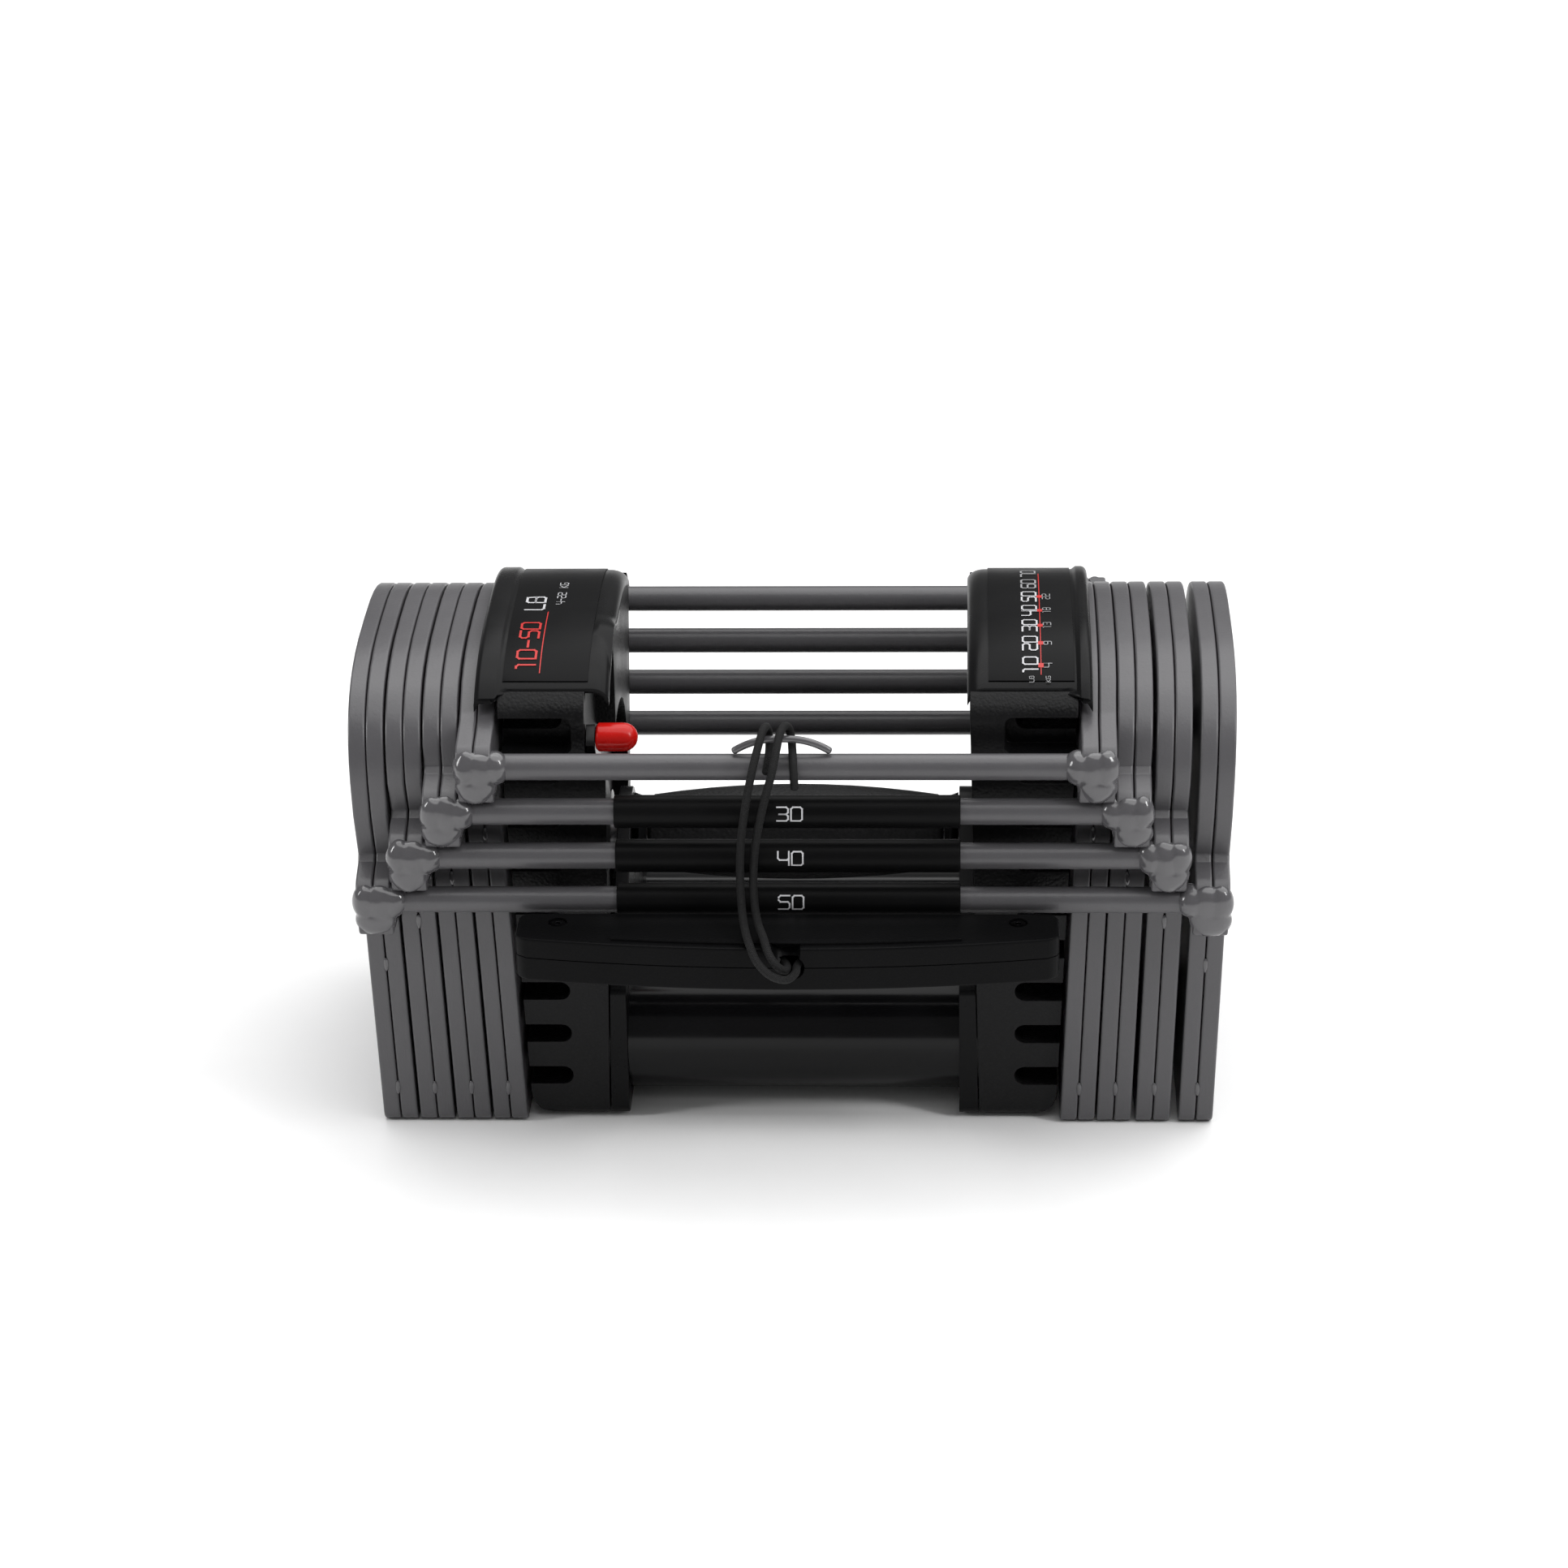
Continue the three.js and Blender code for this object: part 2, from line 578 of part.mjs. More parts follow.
// ---------------------------------------------------------------- grip and tubes
add('handle_tube', cylinderX(TUBE_R, -TUBE_HALF, TUBE_HALF, 0, GRIP_Z), STEEL);
const gripBore = TUBE_R + GAP;
const gripProfile = [[gripBore, -GRIP_HALF], [GRIP_END_R - 2, -GRIP_HALF]];
const gripSteps = 10;
for (let i = 0; i <= gripSteps; i += 1) {
  const t = -1 + (2 * i) / gripSteps;
  gripProfile.push([GRIP_R - (GRIP_R - GRIP_END_R) * t ** 2, (GRIP_HALF - 2) * t]);
}
gripProfile.push([GRIP_END_R - 2, GRIP_HALF], [gripBore, GRIP_HALF], [gripBore, -GRIP_HALF]);
add('grip', turnedX(gripProfile, 0, GRIP_Z), RUBBER);
const collarIn = GRIP_HALF + GAP;
const collarOut = WALL_IN - GAP;
const collar = turnedX([
  [gripBore, collarIn], [GRIP_END_R - 1, collarIn], [COLLAR_R, collarOut],
  [gripBore, collarOut], [gripBore, collarIn],
], 0, GRIP_Z);
add('grip_collar_right', collar, BLACK);
add('grip_collar_left', mirrored(collar), BLACK);

const crossProfile = [
  [CROSS_BORE, -CROSS_HALF], [CROSS_R, -CROSS_HALF],
  [CROSS_R, CROSS_HALF], [CROSS_BORE, CROSS_HALF], [CROSS_BORE, -CROSS_HALF],
];
[['front', -CROSS_Y], ['rear', CROSS_Y]].forEach(([place, y]) => {
  add(`cross_tube_${place}`, turnedX(crossProfile, y, CROSS_Z), GLOSS);
  add(`adder_weight_${place}`, cylinderX(ADDER_R, -ADDER_HALF, ADDER_HALF, y, CROSS_Z), STEEL);
});

// ---------------------------------------------------------------- retaining lever
// The arm is drawn upright above its hub, then turned forward about the grip's axis.
const stubEnd = CAP_IN - CAP_R; // inner end of the stub that the cap is pushed on
const armOutline = [
  [-LEVER_W / 2, TUBE_R + 2 * GAP], [LEVER_W / 2, TUBE_R + 2 * GAP],
  [LEVER_TIP_W / 2, LEVER_R - GAP], [LEVER_TIP_W / 4, LEVER_R + GAP],
  [-LEVER_TIP_W / 4, LEVER_R + GAP], [-LEVER_TIP_W / 2, LEVER_R - GAP],
];
const arm = solid(alongX(armOutline, -LEVER_IN - LEVER_T, LEVER_T))
  .add(solid(cylinderX(HUB_R, -LEVER_IN - LEVER_T, -LEVER_IN, 0, 0)))
  .add(solid(cylinderX(STUB_R, -LEVER_IN - 1, stubEnd, 0, LEVER_R - STUB_R, 16)))
  .subtract(solid(cylinderX(TUBE_R + GAP, -LEVER_IN - LEVER_T - CUT, -LEVER_IN + CUT, 0, 0)));
function inPlace(geometry) {
  return bare(geometry).rotateX(LEVER_ANGLE).translate(0, 0, GRIP_Z);
}
add('lever_arm', inPlace(geometryOf(arm)), STEEL);

const capFace = -LEVER_IN + GAP;
const capBore = STUB_R + GAP;
const capProfile = [
  [capBore, capFace], [CAP_R - 1, capFace], [CAP_R, capFace + 1],
  ...arc(0, CAP_IN - CAP_R, CAP_R, 0, 90, 6),
  [0, stubEnd + GAP], [capBore, stubEnd + GAP], [capBore, capFace],
];
add('lever_cap', inPlace(turnedX(capProfile, 0, LEVER_R - STUB_R, 20)), RED);

// ---------------------------------------------------------------- selector pin
const bowR = (HANDLE_HALF ** 2 + HANDLE_BOW ** 2) / (2 * HANDLE_BOW);
const bowY = (x, inset) => HANDLE_SIDE_Y - HANDLE_BOW + inset + bowR - Math.sqrt(bowR ** 2 - x ** 2);

function handlePlan() {
  const points = [];
  const steps = 14;
  const reach = HANDLE_HALF - HANDLE_CORNER;
  for (let i = 0; i <= steps; i += 1) {
    const x = -reach + (2 * reach * i) / steps;
    points.push([x, bowY(x, 0)]);
  }
  const side = bowY(reach, 0) + HANDLE_CORNER;
  points.push([HANDLE_HALF - 1, side - HANDLE_CORNER / 2], [HANDLE_HALF, side]);
  points.push(...arc(HANDLE_HALF - HANDLE_CORNER, HANDLE_REAR - HANDLE_CORNER, HANDLE_CORNER, 0, 90, 3));
  points.push(...arc(-HANDLE_HALF + HANDLE_CORNER, HANDLE_REAR - HANDLE_CORNER, HANDLE_CORNER, 90, 180, 3));
  points.push([-HANDLE_HALF, side], [-HANDLE_HALF + 1, side - HANDLE_CORNER / 2]);
  return points;
}

// A handle symmetrical about the height z0; the half past the parting face is cut away later.
function handleHalf(z0, z1) {
  const shape = new THREE.Shape(handlePlan().map(([x, y]) => new THREE.Vector2(x, y)));
  const whole = 2 * (z1 - z0);
  const g = new THREE.ExtrudeGeometry(shape, {
    depth: whole - 2 * HANDLE_BEVEL,
    bevelThickness: HANDLE_BEVEL,
    bevelSize: HANDLE_BEVEL,
    bevelOffset: -HANDLE_BEVEL,
    bevelSegments: 2,
  });
  return solid(g.translate(0, 0, z0 - (z1 - z0) + HANDLE_BEVEL));
}

const halfGap = GAP / 2;
const topHeight = HANDLE_TOP - PIN_Z - halfGap;
const bottomHeight = PIN_Z - halfGap - HANDLE_BOTTOM;
const far = HANDLE_HALF + CUT;
const belowParting = box(-far, far, -2 * HANDLE_HALF, 0, 0, PIN_Z + halfGap);
const aboveParting = box(-far, far, -2 * HANDLE_HALF, 0, PIN_Z - halfGap, 2 * HANDLE_HALF);
const insides = [
  cylinderY(PRONG_R + GAP, PRONG_FRONT - GAP, 0, -PRONG_X, PIN_Z, 20),
  cylinderY(PRONG_R + GAP, PRONG_FRONT - GAP, 0, PRONG_X, PIN_Z, 20),
  cylinderY(HOLE_R, -2 * HANDLE_HALF, CHAMBER.front + CUT, HOLE_X, PIN_Z, 20),
  box(
    HOLE_X - CHAMBER.x, HOLE_X + CHAMBER.x, CHAMBER.front, CHAMBER.rear,
    PIN_Z - CHAMBER.h / 2, PIN_Z + CHAMBER.h / 2,
  ),
];
const scoop = new THREE.CylinderGeometry(SCOOP_R, SCOOP_R, 3 * SCOOP_R, 20)
  .rotateX(QUARTER / 2).translate(HOLE_X - 2, HANDLE_SIDE_Y - HANDLE_BOW - 3, PIN_Z + 3);
const ribPoints = [];
const ribSteps = 10;
for (let i = 0; i <= ribSteps; i += 1) {
  const x = -RIB_HALF + (2 * RIB_HALF * i) / ribSteps;
  ribPoints.push(new THREE.Vector2(x, bowY(x, RIB_INSET)));
}
for (let i = ribSteps; i >= 0; i -= 1) {
  const x = -RIB_HALF + (2 * RIB_HALF * i) / ribSteps;
  ribPoints.push(new THREE.Vector2(x, bowY(x, RIB_INSET + RIB_W)));
}
const rib = new THREE.ExtrudeGeometry(new THREE.Shape(ribPoints), { depth: RIB_H + 1, bevelEnabled: false })
  .translate(0, 0, HANDLE_TOP - 1);
const screwTop = HANDLE_TOP - GAP;
const screwNeck = screwTop - SCREW_HEAD_H;
const screwWells = [-SCREW_X, SCREW_X].flatMap((x) => [
  cylinderZ(SCREW_HEAD_R + GAP, screwNeck - GAP, HANDLE_TOP + CUT, x, SCREW_Y, 20),
  cylinderZ(SCREW_SHANK_R + GAP, PIN_Z, HANDLE_TOP, x, SCREW_Y, 12),
]);
const handleTop = handleHalf(PIN_Z + halfGap, PIN_Z + halfGap + topHeight).add(solid(rib));
const handleBottom = handleHalf(PIN_Z - halfGap, PIN_Z - halfGap + bottomHeight);
const cutAll = (body, cutters) => cutters.reduce((left, cutter) => left.subtract(solid(cutter)), body);
const topCutters = [belowParting, ...insides, scoop, ...screwWells];
add('pin_handle_top', geometryOf(cutAll(handleTop, topCutters)), BLACK);
add('pin_handle_bottom', geometryOf(cutAll(handleBottom, [aboveParting, ...insides])), BLACK);

[['left', -1], ['right', 1]].forEach(([place, side]) => {
  const prong = [
    [0, PRONG_FRONT], [PRONG_R, PRONG_FRONT], [PRONG_R, PRONG_TIP - 1.5],
    [PRONG_R - 1.5, PRONG_TIP], [0, PRONG_TIP],
  ];
  const turned = new THREE.LatheGeometry(prong.map(([r, y]) => new THREE.Vector2(r, y)), 16);
  add(`pin_prong_${place}`, turned.translate(side * PRONG_X, 0, PIN_Z), STEEL);
  const shankEnd = PIN_Z + PRONG_R + GAP;
  const screw = [
    [0, shankEnd], [SCREW_SHANK_R, shankEnd], [SCREW_SHANK_R, screwNeck],
    [SCREW_HEAD_R, screwNeck], [SCREW_HEAD_R, screwTop - GAP], [SCREW_HEAD_R - 1, screwTop],
    [1, screwTop], [1, screwTop - 1], [0, screwTop - 1],
  ];
  const head = new THREE.LatheGeometry(screw.map(([r, z]) => new THREE.Vector2(r, z)), 12);
  add(`pin_screw_${place}`, head.rotateX(QUARTER).translate(side * SCREW_X, SCREW_Y, 0), STEEL);
});

// The frame's origin is the middle of the underside of everything but the tether.
const bounds = new THREE.Box3().setFromObject(group);
const centre = bounds.getCenter(new THREE.Vector3());
group.position.set(-centre.x, -centre.y, 0);

// ---------------------------------------------------------------- tether
add('tether_cord', swept(CORD_ROUTE, CORD_R, CORD_SIDES, CORD_STEPS), RUBBER);

export default group;
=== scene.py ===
import json
import math

import bmesh
import bpy
import numpy as np
from mathutils import Matrix, Vector

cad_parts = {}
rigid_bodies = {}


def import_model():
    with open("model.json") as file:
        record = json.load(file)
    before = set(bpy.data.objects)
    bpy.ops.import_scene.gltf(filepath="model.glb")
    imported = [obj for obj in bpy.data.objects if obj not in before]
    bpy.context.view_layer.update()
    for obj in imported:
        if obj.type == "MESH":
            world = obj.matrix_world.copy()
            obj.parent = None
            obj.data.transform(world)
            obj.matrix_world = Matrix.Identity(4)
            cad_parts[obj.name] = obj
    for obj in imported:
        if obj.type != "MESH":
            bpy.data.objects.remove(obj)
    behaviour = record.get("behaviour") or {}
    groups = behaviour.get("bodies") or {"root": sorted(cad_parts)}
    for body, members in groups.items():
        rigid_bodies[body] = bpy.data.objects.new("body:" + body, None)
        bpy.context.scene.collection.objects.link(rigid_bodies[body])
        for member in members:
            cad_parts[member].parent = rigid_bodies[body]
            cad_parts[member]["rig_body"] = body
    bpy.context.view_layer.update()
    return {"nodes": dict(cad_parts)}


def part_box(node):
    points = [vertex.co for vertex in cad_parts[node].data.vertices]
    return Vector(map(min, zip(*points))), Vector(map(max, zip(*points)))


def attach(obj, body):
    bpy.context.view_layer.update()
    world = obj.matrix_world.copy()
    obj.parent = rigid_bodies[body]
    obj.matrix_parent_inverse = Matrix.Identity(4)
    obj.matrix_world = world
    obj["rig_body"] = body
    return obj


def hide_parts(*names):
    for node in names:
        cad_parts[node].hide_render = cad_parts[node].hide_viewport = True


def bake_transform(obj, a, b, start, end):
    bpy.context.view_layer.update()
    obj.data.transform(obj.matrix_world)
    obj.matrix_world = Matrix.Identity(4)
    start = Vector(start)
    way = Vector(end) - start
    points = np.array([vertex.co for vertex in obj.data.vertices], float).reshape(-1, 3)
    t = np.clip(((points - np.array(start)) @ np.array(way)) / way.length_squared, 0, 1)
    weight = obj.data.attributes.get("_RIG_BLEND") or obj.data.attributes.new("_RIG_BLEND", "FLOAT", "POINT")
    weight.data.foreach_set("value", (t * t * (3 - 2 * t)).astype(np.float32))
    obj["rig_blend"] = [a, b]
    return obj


bl_info = {
    "name": "Adjustable dumbbell",
    "version": (1, 0, 0),
    "blender": (4, 5, 0),
    "location": "3D View > Sidebar > Dumbbell",
    "description": "Finishes the packed dumbbell: coats, welds, labels, numerals, tether and studio",
    "category": "Object",
}

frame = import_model()

MM = 0.001
_low, _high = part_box("handle_tube")
# The middle of the grip's axis on the floor: sizes below are millimetres from here.
HERE = Vector(((_low.x + _high.x) / 2, (_low.y + _high.y) / 2, 0.0))
RINGS = ("20", "30", "40", "50")
SIDES = ("left", "right")


def at(x, y, z):
    """A point given in millimetres from the middle of the grip's axis on the floor."""
    return Vector((HERE.x + x * MM, HERE.y + y * MM, z * MM))


def middle(node):
    """The middle of a CAD node's box."""
    low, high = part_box(node)
    return (low + high) / 2


# ------------------------------------------------------------------ settings

def colour_prop(label, text, value):
    """A colour property with three channels."""
    return bpy.props.FloatVectorProperty(
        name=label, description=text, default=value, subtype="COLOR", size=3, min=0, max=1)


class DumbbellLooks(bpy.types.PropertyGroup):
    """Colours and surface sizes."""

    coat: colour_prop("Powder coat", "Colour of the rings' powder coat", (0.079, 0.077, 0.082))
    plastic: colour_prop("Plastic", "Colour of the moulded plastic", (0.0052, 0.0052, 0.0056))
    enamel: colour_prop("Enamel", "Colour of the cross tubes", (0.004, 0.004, 0.0045))
    rubber: colour_prop("Rubber", "Colour of the grip", (0.006, 0.006, 0.0064))
    sleeve: colour_prop("Sleeve", "Colour of the rail sleeves", (0.0038, 0.0038, 0.0040))
    accent: colour_prop("Accent", "Colour of the lever's cap and the label lines", (0.50, 0.006, 0.004))
    print_: colour_prop("Print", "Colour of the numerals", (0.62, 0.62, 0.64))
    cord: colour_prop("Cord", "Colour of the tether's braid", (0.006, 0.006, 0.0063))
    edge: bpy.props.FloatProperty(
        name="Edge radius", description="Rounding of moulded edges", default=0.0007,
        unit="LENGTH", min=0.0001, max=0.003)
    pebble: bpy.props.FloatProperty(
        name="Pebble size", description="Cell size of the moulded texture", default=0.0011,
        unit="LENGTH", min=0.0003, max=0.005)
    numeral: bpy.props.FloatProperty(
        name="Numeral height", description="Height of the sleeve numerals", default=0.0048,
        unit="LENGTH", min=0.002, max=0.01)


class DumbbellStage(bpy.types.PropertyGroup):
    """Camera and light."""

    lens: bpy.props.FloatProperty(
        name="Lens", description="Focal length on a 36 mm sensor", default=104.54, min=20, max=300)
    key: bpy.props.FloatProperty(
        name="Key", description="Strength of the wide light from above", default=3.2, min=0, max=50)
    strip: bpy.props.FloatProperty(
        name="Strip", description="Power of the soft boxes", default=5, unit="POWER", min=0, max=500)
    sky: bpy.props.FloatProperty(
        name="Sky", description="Strength of the even surrounding light", default=0.22, min=0, max=5)


# ------------------------------------------------------------------ shader node groups

def new_group(name, scale, label="Scale"):
    """A node group that takes a vector and a scale, and puts out a height, clouds and light specks; in the
    pebble and braid groups the specks are a painted highlight on raised crests.
    """
    tree = bpy.data.node_groups.new(name, "ShaderNodeTree")
    tree.interface.new_socket(name="Vector", in_out="INPUT", socket_type="NodeSocketVector")
    size = tree.interface.new_socket(name=label, in_out="INPUT", socket_type="NodeSocketFloat")
    size.default_value = scale
    for output in ("Height", "Cloud", "SpeckAndCrestLight"):
        tree.interface.new_socket(name=output, in_out="OUTPUT", socket_type="NodeSocketFloat")
    source = tree.nodes.new("NodeGroupInput")
    target = tree.nodes.new("NodeGroupOutput")
    return tree, source, target


def add_math(tree, operation, a, b=0.0):
    """One math node; a and b are sockets or numbers."""
    node = tree.nodes.new("ShaderNodeMath")
    node.operation = operation
    for i, value in enumerate((a, b)):
        if isinstance(value, (int, float)):
            node.inputs[i].default_value = value
        else:
            tree.links.new(value, node.inputs[i])
    return node.outputs[0]


def add_range(tree, value, low, high, to_low, to_high):
    """A clamped map range node."""
    node = tree.nodes.new("ShaderNodeMapRange")
    tree.links.new(value, node.inputs["Value"])
    for label, number in (("From Min", low), ("From Max", high), ("To Min", to_low), ("To Max", to_high)):
        node.inputs[label].default_value = number
    return node.outputs[0]


def add_noise(tree, vector, scale, detail=3.0, rough=0.5, distortion=0.0):
    """A noise texture's value; scale is a socket or a number."""
    node = tree.nodes.new("ShaderNodeTexNoise")
    tree.links.new(vector, node.inputs["Vector"])
    if isinstance(scale, (int, float)):
        node.inputs["Scale"].default_value = scale
    else:
        tree.links.new(scale, node.inputs["Scale"])
    node.inputs["Detail"].default_value = detail
    node.inputs["Roughness"].default_value = rough
    node.inputs["Distortion"].default_value = distortion
    return node.outputs["Fac"]


def stretched(tree, vector, factors):
    """The vector multiplied by fixed factors along its axes."""
    node = tree.nodes.new("ShaderNodeVectorMath")
    node.operation = "MULTIPLY"
    tree.links.new(vector, node.inputs[0])
    node.inputs[1].default_value = factors
    return node.outputs[0]


def coat_group():
    """Powder coat: fine orange peel, slow colour clouds, and hairline runs down the plates."""
    tree, source, target = new_group("powder_coat", 900.0, "Peel")
    vector = source.outputs["Vector"]
    peel = add_noise(tree, vector, source.outputs["Peel"], 2.0, 0.45)
    runs = add_noise(tree, stretched(tree, vector, (9.0, 9.0, 1.0)), 62.0, 3.0, 0.55)
    wrinkle = add_range(tree, runs, 0.56, 0.62, 0.0, 1.0)
    height = add_math(tree, "ADD", peel, add_math(tree, "MULTIPLY", wrinkle, 0.35))
    tree.links.new(height, target.inputs["Height"])
    tree.links.new(add_noise(tree, vector, 24.0, 4.0, 0.6), target.inputs["Cloud"])
    speck_and_crest_light = add_noise(tree, vector, 2600.0, 1.0, 0.5)
    tree.links.new(add_range(tree, speck_and_crest_light, 0.55, 0.72, 0.0, 1.0), target.inputs["SpeckAndCrestLight"])
    return tree


def pebble_group():
    """Moulded pebble: rounded cells of one size, broken up by a finer noise, with a painted highlight on each
    cell's raised middle.
    """
    tree, source, target = new_group("moulded_pebble", 900.0)
    vector = source.outputs["Vector"]
    cell = tree.nodes.new("ShaderNodeTexVoronoi")
    cell.feature = "SMOOTH_F1"
    cell.inputs["Smoothness"].default_value = 0.6
    tree.links.new(vector, cell.inputs["Vector"])
    tree.links.new(source.outputs["Scale"], cell.inputs["Scale"])
    fine = add_noise(tree, vector, add_math(tree, "MULTIPLY", source.outputs["Scale"], 2.1), 2.0, 0.6)
    height = add_math(tree, "SUBTRACT", add_math(tree, "MULTIPLY", fine, 0.5), cell.outputs["Distance"])
    tree.links.new(height, target.inputs["Height"])
    tree.links.new(add_noise(tree, vector, 30.0, 4.0, 0.6), target.inputs["Cloud"])
    # Painted highlight: each cell's raised middle is coloured lighter, leaving painted shade where the cells
    # meet.
    tree.links.new(add_range(tree, cell.outputs["Distance"], 0.1, 0.5, 1.0, 0.0), target.inputs["SpeckAndCrestLight"])
    return tree


def satin_group():
    """Smooth moulding or rod: long fine drawing marks along one axis, and handling smudges."""
    tree, source, target = new_group("satin_marks", 700.0)
    vector = source.outputs["Vector"]
    marks = add_noise(tree, stretched(tree, vector, (0.06, 1.0, 1.0)), source.outputs["Scale"], 3.0, 0.6)
    tree.links.new(marks, target.inputs["Height"])
    tree.links.new(add_noise(tree, vector, 38.0, 5.0, 0.65, 0.4), target.inputs["Cloud"])
    speck_and_crest_light = add_noise(tree, vector, 1500.0, 1.0, 0.5)
    tree.links.new(add_range(tree, speck_and_crest_light, 0.6, 0.75, 0.0, 1.0), target.inputs["SpeckAndCrestLight"])
    return tree


def braid_group():
    """Braided cover: two sets of slanting ridges over the cord's own coordinates, with a painted highlight on
    the crests and painted shade in the grooves.
    """
    tree, source, target = new_group("braid", 1.0)
    parts = tree.nodes.new("ShaderNodeSeparateXYZ")
    tree.links.new(source.outputs["Vector"], parts.inputs[0])
    turns = 2 * math.pi * 6
    along = add_math(tree, "MULTIPLY", parts.outputs["Y"], turns)
    around = add_math(tree, "MULTIPLY", parts.outputs["X"], turns)
    one = add_math(tree, "SINE", add_math(tree, "ADD", along, around))
    two = add_math(tree, "SINE", add_math(tree, "SUBTRACT", along, around))
    weave = add_math(tree, "MAXIMUM", one, two)
    tree.links.new(weave, target.inputs["Height"])
    tree.links.new(add_noise(tree, source.outputs["Vector"], 4.0, 3.0), target.inputs["Cloud"])
    # Painted highlight: the ridges' crests are coloured lighter than the grooves, which hold painted shade.
    tree.links.new(add_range(tree, weave, 0.2, 1.0, 0.0, 1.0), target.inputs["SpeckAndCrestLight"])
    return tree


GROUP_MAKERS = {
    "powder_coat": coat_group,
    "moulded_pebble": pebble_group,
    "satin_marks": satin_group,
    "braid": braid_group,
}


def shader_group(name):
    """The named group, made the first time it is asked for."""
    return bpy.data.node_groups.get(name) or GROUP_MAKERS[name]()


def finish_material(name, colour, group, scale, rough=(0.35, 0.5), spread=0.14, bump=0.2,
                    depth=0.0001, metallic=0.0, coat=0.0, speck_and_crest_light=0.0, uv=False, specular=0.5):
    """A principled material whose colour, roughness and bump come from one of the groups.

    colour is the middle colour, spread how far the clouds lighten and darken it, rough the
    roughness at the two ends of the clouds, and the speck weight how far the group's light
    specks lighten it: random flecks from the coat and satin groups, and from the pebble and
    braid groups a painted highlight on the raised crests, with painted shade left in the hollows.
    """
    found = bpy.data.materials.get(name)
    if found:
        return found
    made = bpy.data.materials.new(name)
    made.use_nodes = True
    made.diffuse_color = (*colour, 1.0)
    tree = made.node_tree
    shader = tree.nodes["Principled BSDF"]
    effect = tree.nodes.new("ShaderNodeGroup")
    effect.node_tree = shader_group(group)
    scale_input = effect.inputs.get("Scale") or effect.inputs.get("Peel")
    scale_input.default_value = scale
    if uv:
        where = tree.nodes.new("ShaderNodeUVMap")
        where.uv_map = "UVMap"
        tree.links.new(where.outputs["UV"], effect.inputs["Vector"])
    else:
        where = tree.nodes.new("ShaderNodeTexCoord")
        tree.links.new(where.outputs["Object"], effect.inputs["Vector"])
    ramp = tree.nodes.new("ShaderNodeMix")
    ramp.data_type = "RGBA"
    ramp.inputs["A"].default_value = (*[c * (1 - spread) for c in colour], 1)
    ramp.inputs["B"].default_value = (*[min(1.0, c * (1 + spread)) for c in colour], 1)
    cloud = add_range(tree, effect.outputs["Cloud"], 0.32, 0.68, 0.0, 1.0)
    tree.links.new(cloud, ramp.inputs["Factor"])
    # Mixes in a lighter colour where the group's specks are: random flecks for coat and satin, a painted
    # highlight on raised crests for pebble and braid.
    lighten_speck_and_crest = tree.nodes.new("ShaderNodeMix")
    lighten_speck_and_crest.data_type = "RGBA"
    lighten_speck_and_crest.inputs["B"].default_value = (*[min(1.0, c * 1.5 + 0.004) for c in colour], 1)
    tree.links.new(ramp.outputs["Result"], lighten_speck_and_crest.inputs["A"])
    tree.links.new(add_math(tree, "MULTIPLY", effect.outputs["SpeckAndCrestLight"], speck_and_crest_light), lighten_speck_and_crest.inputs["Factor"])
    tree.links.new(lighten_speck_and_crest.outputs["Result"], shader.inputs["Base Color"])
    tree.links.new(add_range(tree, effect.outputs["Cloud"], 0.32, 0.68, rough[0], rough[1]),
                   shader.inputs["Roughness"])
    relief = tree.nodes.new("ShaderNodeBump")
    relief.inputs["Strength"].default_value = bump
    relief.inputs["Distance"].default_value = depth
    tree.links.new(effect.outputs["Height"], relief.inputs["Height"])
    tree.links.new(relief.outputs["Normal"], shader.inputs["Normal"])
    shader.inputs["Metallic"].default_value = metallic
    shader.inputs["Coat Weight"].default_value = coat
    shader.inputs["Coat Roughness"].default_value = 0.12
    shader.inputs["Specular IOR Level"].default_value = specular
    return made


def coat_material():
    """The rings' grey powder coat."""
    looks = bpy.context.scene.dumbbell_looks
    return finish_material("powder_coat_grey", looks.coat, "powder_coat", 900.0,
                           rough=(0.30, 0.40), spread=0.07, bump=0.22, depth=0.0002, speck_and_crest_light=0.18)


def weld_material():
    """The same coat flowed thickly over a weld, so it is glossier."""
    looks = bpy.context.scene.dumbbell_looks
    return finish_material("powder_coat_weld", looks.coat, "powder_coat", 420.0,
                           rough=(0.14, 0.22), spread=0.05, bump=0.08, depth=0.0003, speck_and_crest_light=0.1, coat=0.5)


def pebble_material():
    """Moulded plastic with a pebble texture."""
    looks = bpy.context.scene.dumbbell_looks
    return finish_material("plastic_pebble", looks.plastic, "moulded_pebble", 1.0 / looks.pebble,
                           rough=(0.34, 0.46), spread=0.15, bump=0.45, depth=0.0003, speck_and_crest_light=0.3, specular=0.16)


def satin_material():
    """Moulded plastic without texture, satin and a little smudged."""
    looks = bpy.context.scene.dumbbell_looks
    return finish_material("plastic_satin", looks.plastic, "satin_marks", 600.0,
                           rough=(0.24, 0.36), spread=0.12, bump=0.05, depth=0.0001, speck_and_crest_light=0.2, specular=0.1)


def steel_material():
    """Plain turned steel."""
    return finish_material("steel_turned", (0.45, 0.45, 0.46), "satin_marks", 1400.0,
                           rough=(0.24, 0.4), spread=0.12, bump=0.12, depth=0.0001, metallic=1.0)


def flat_print(name, colour, rough=0.4):
    """Printed ink: a faint mottle in its colour and sheen."""
    return finish_material(name, colour, "satin_marks", 2200.0, rough=(rough - 0.06, rough + 0.06),
                           spread=0.06, bump=0.03, depth=0.00005)


# ------------------------------------------------------------------ mesh helpers

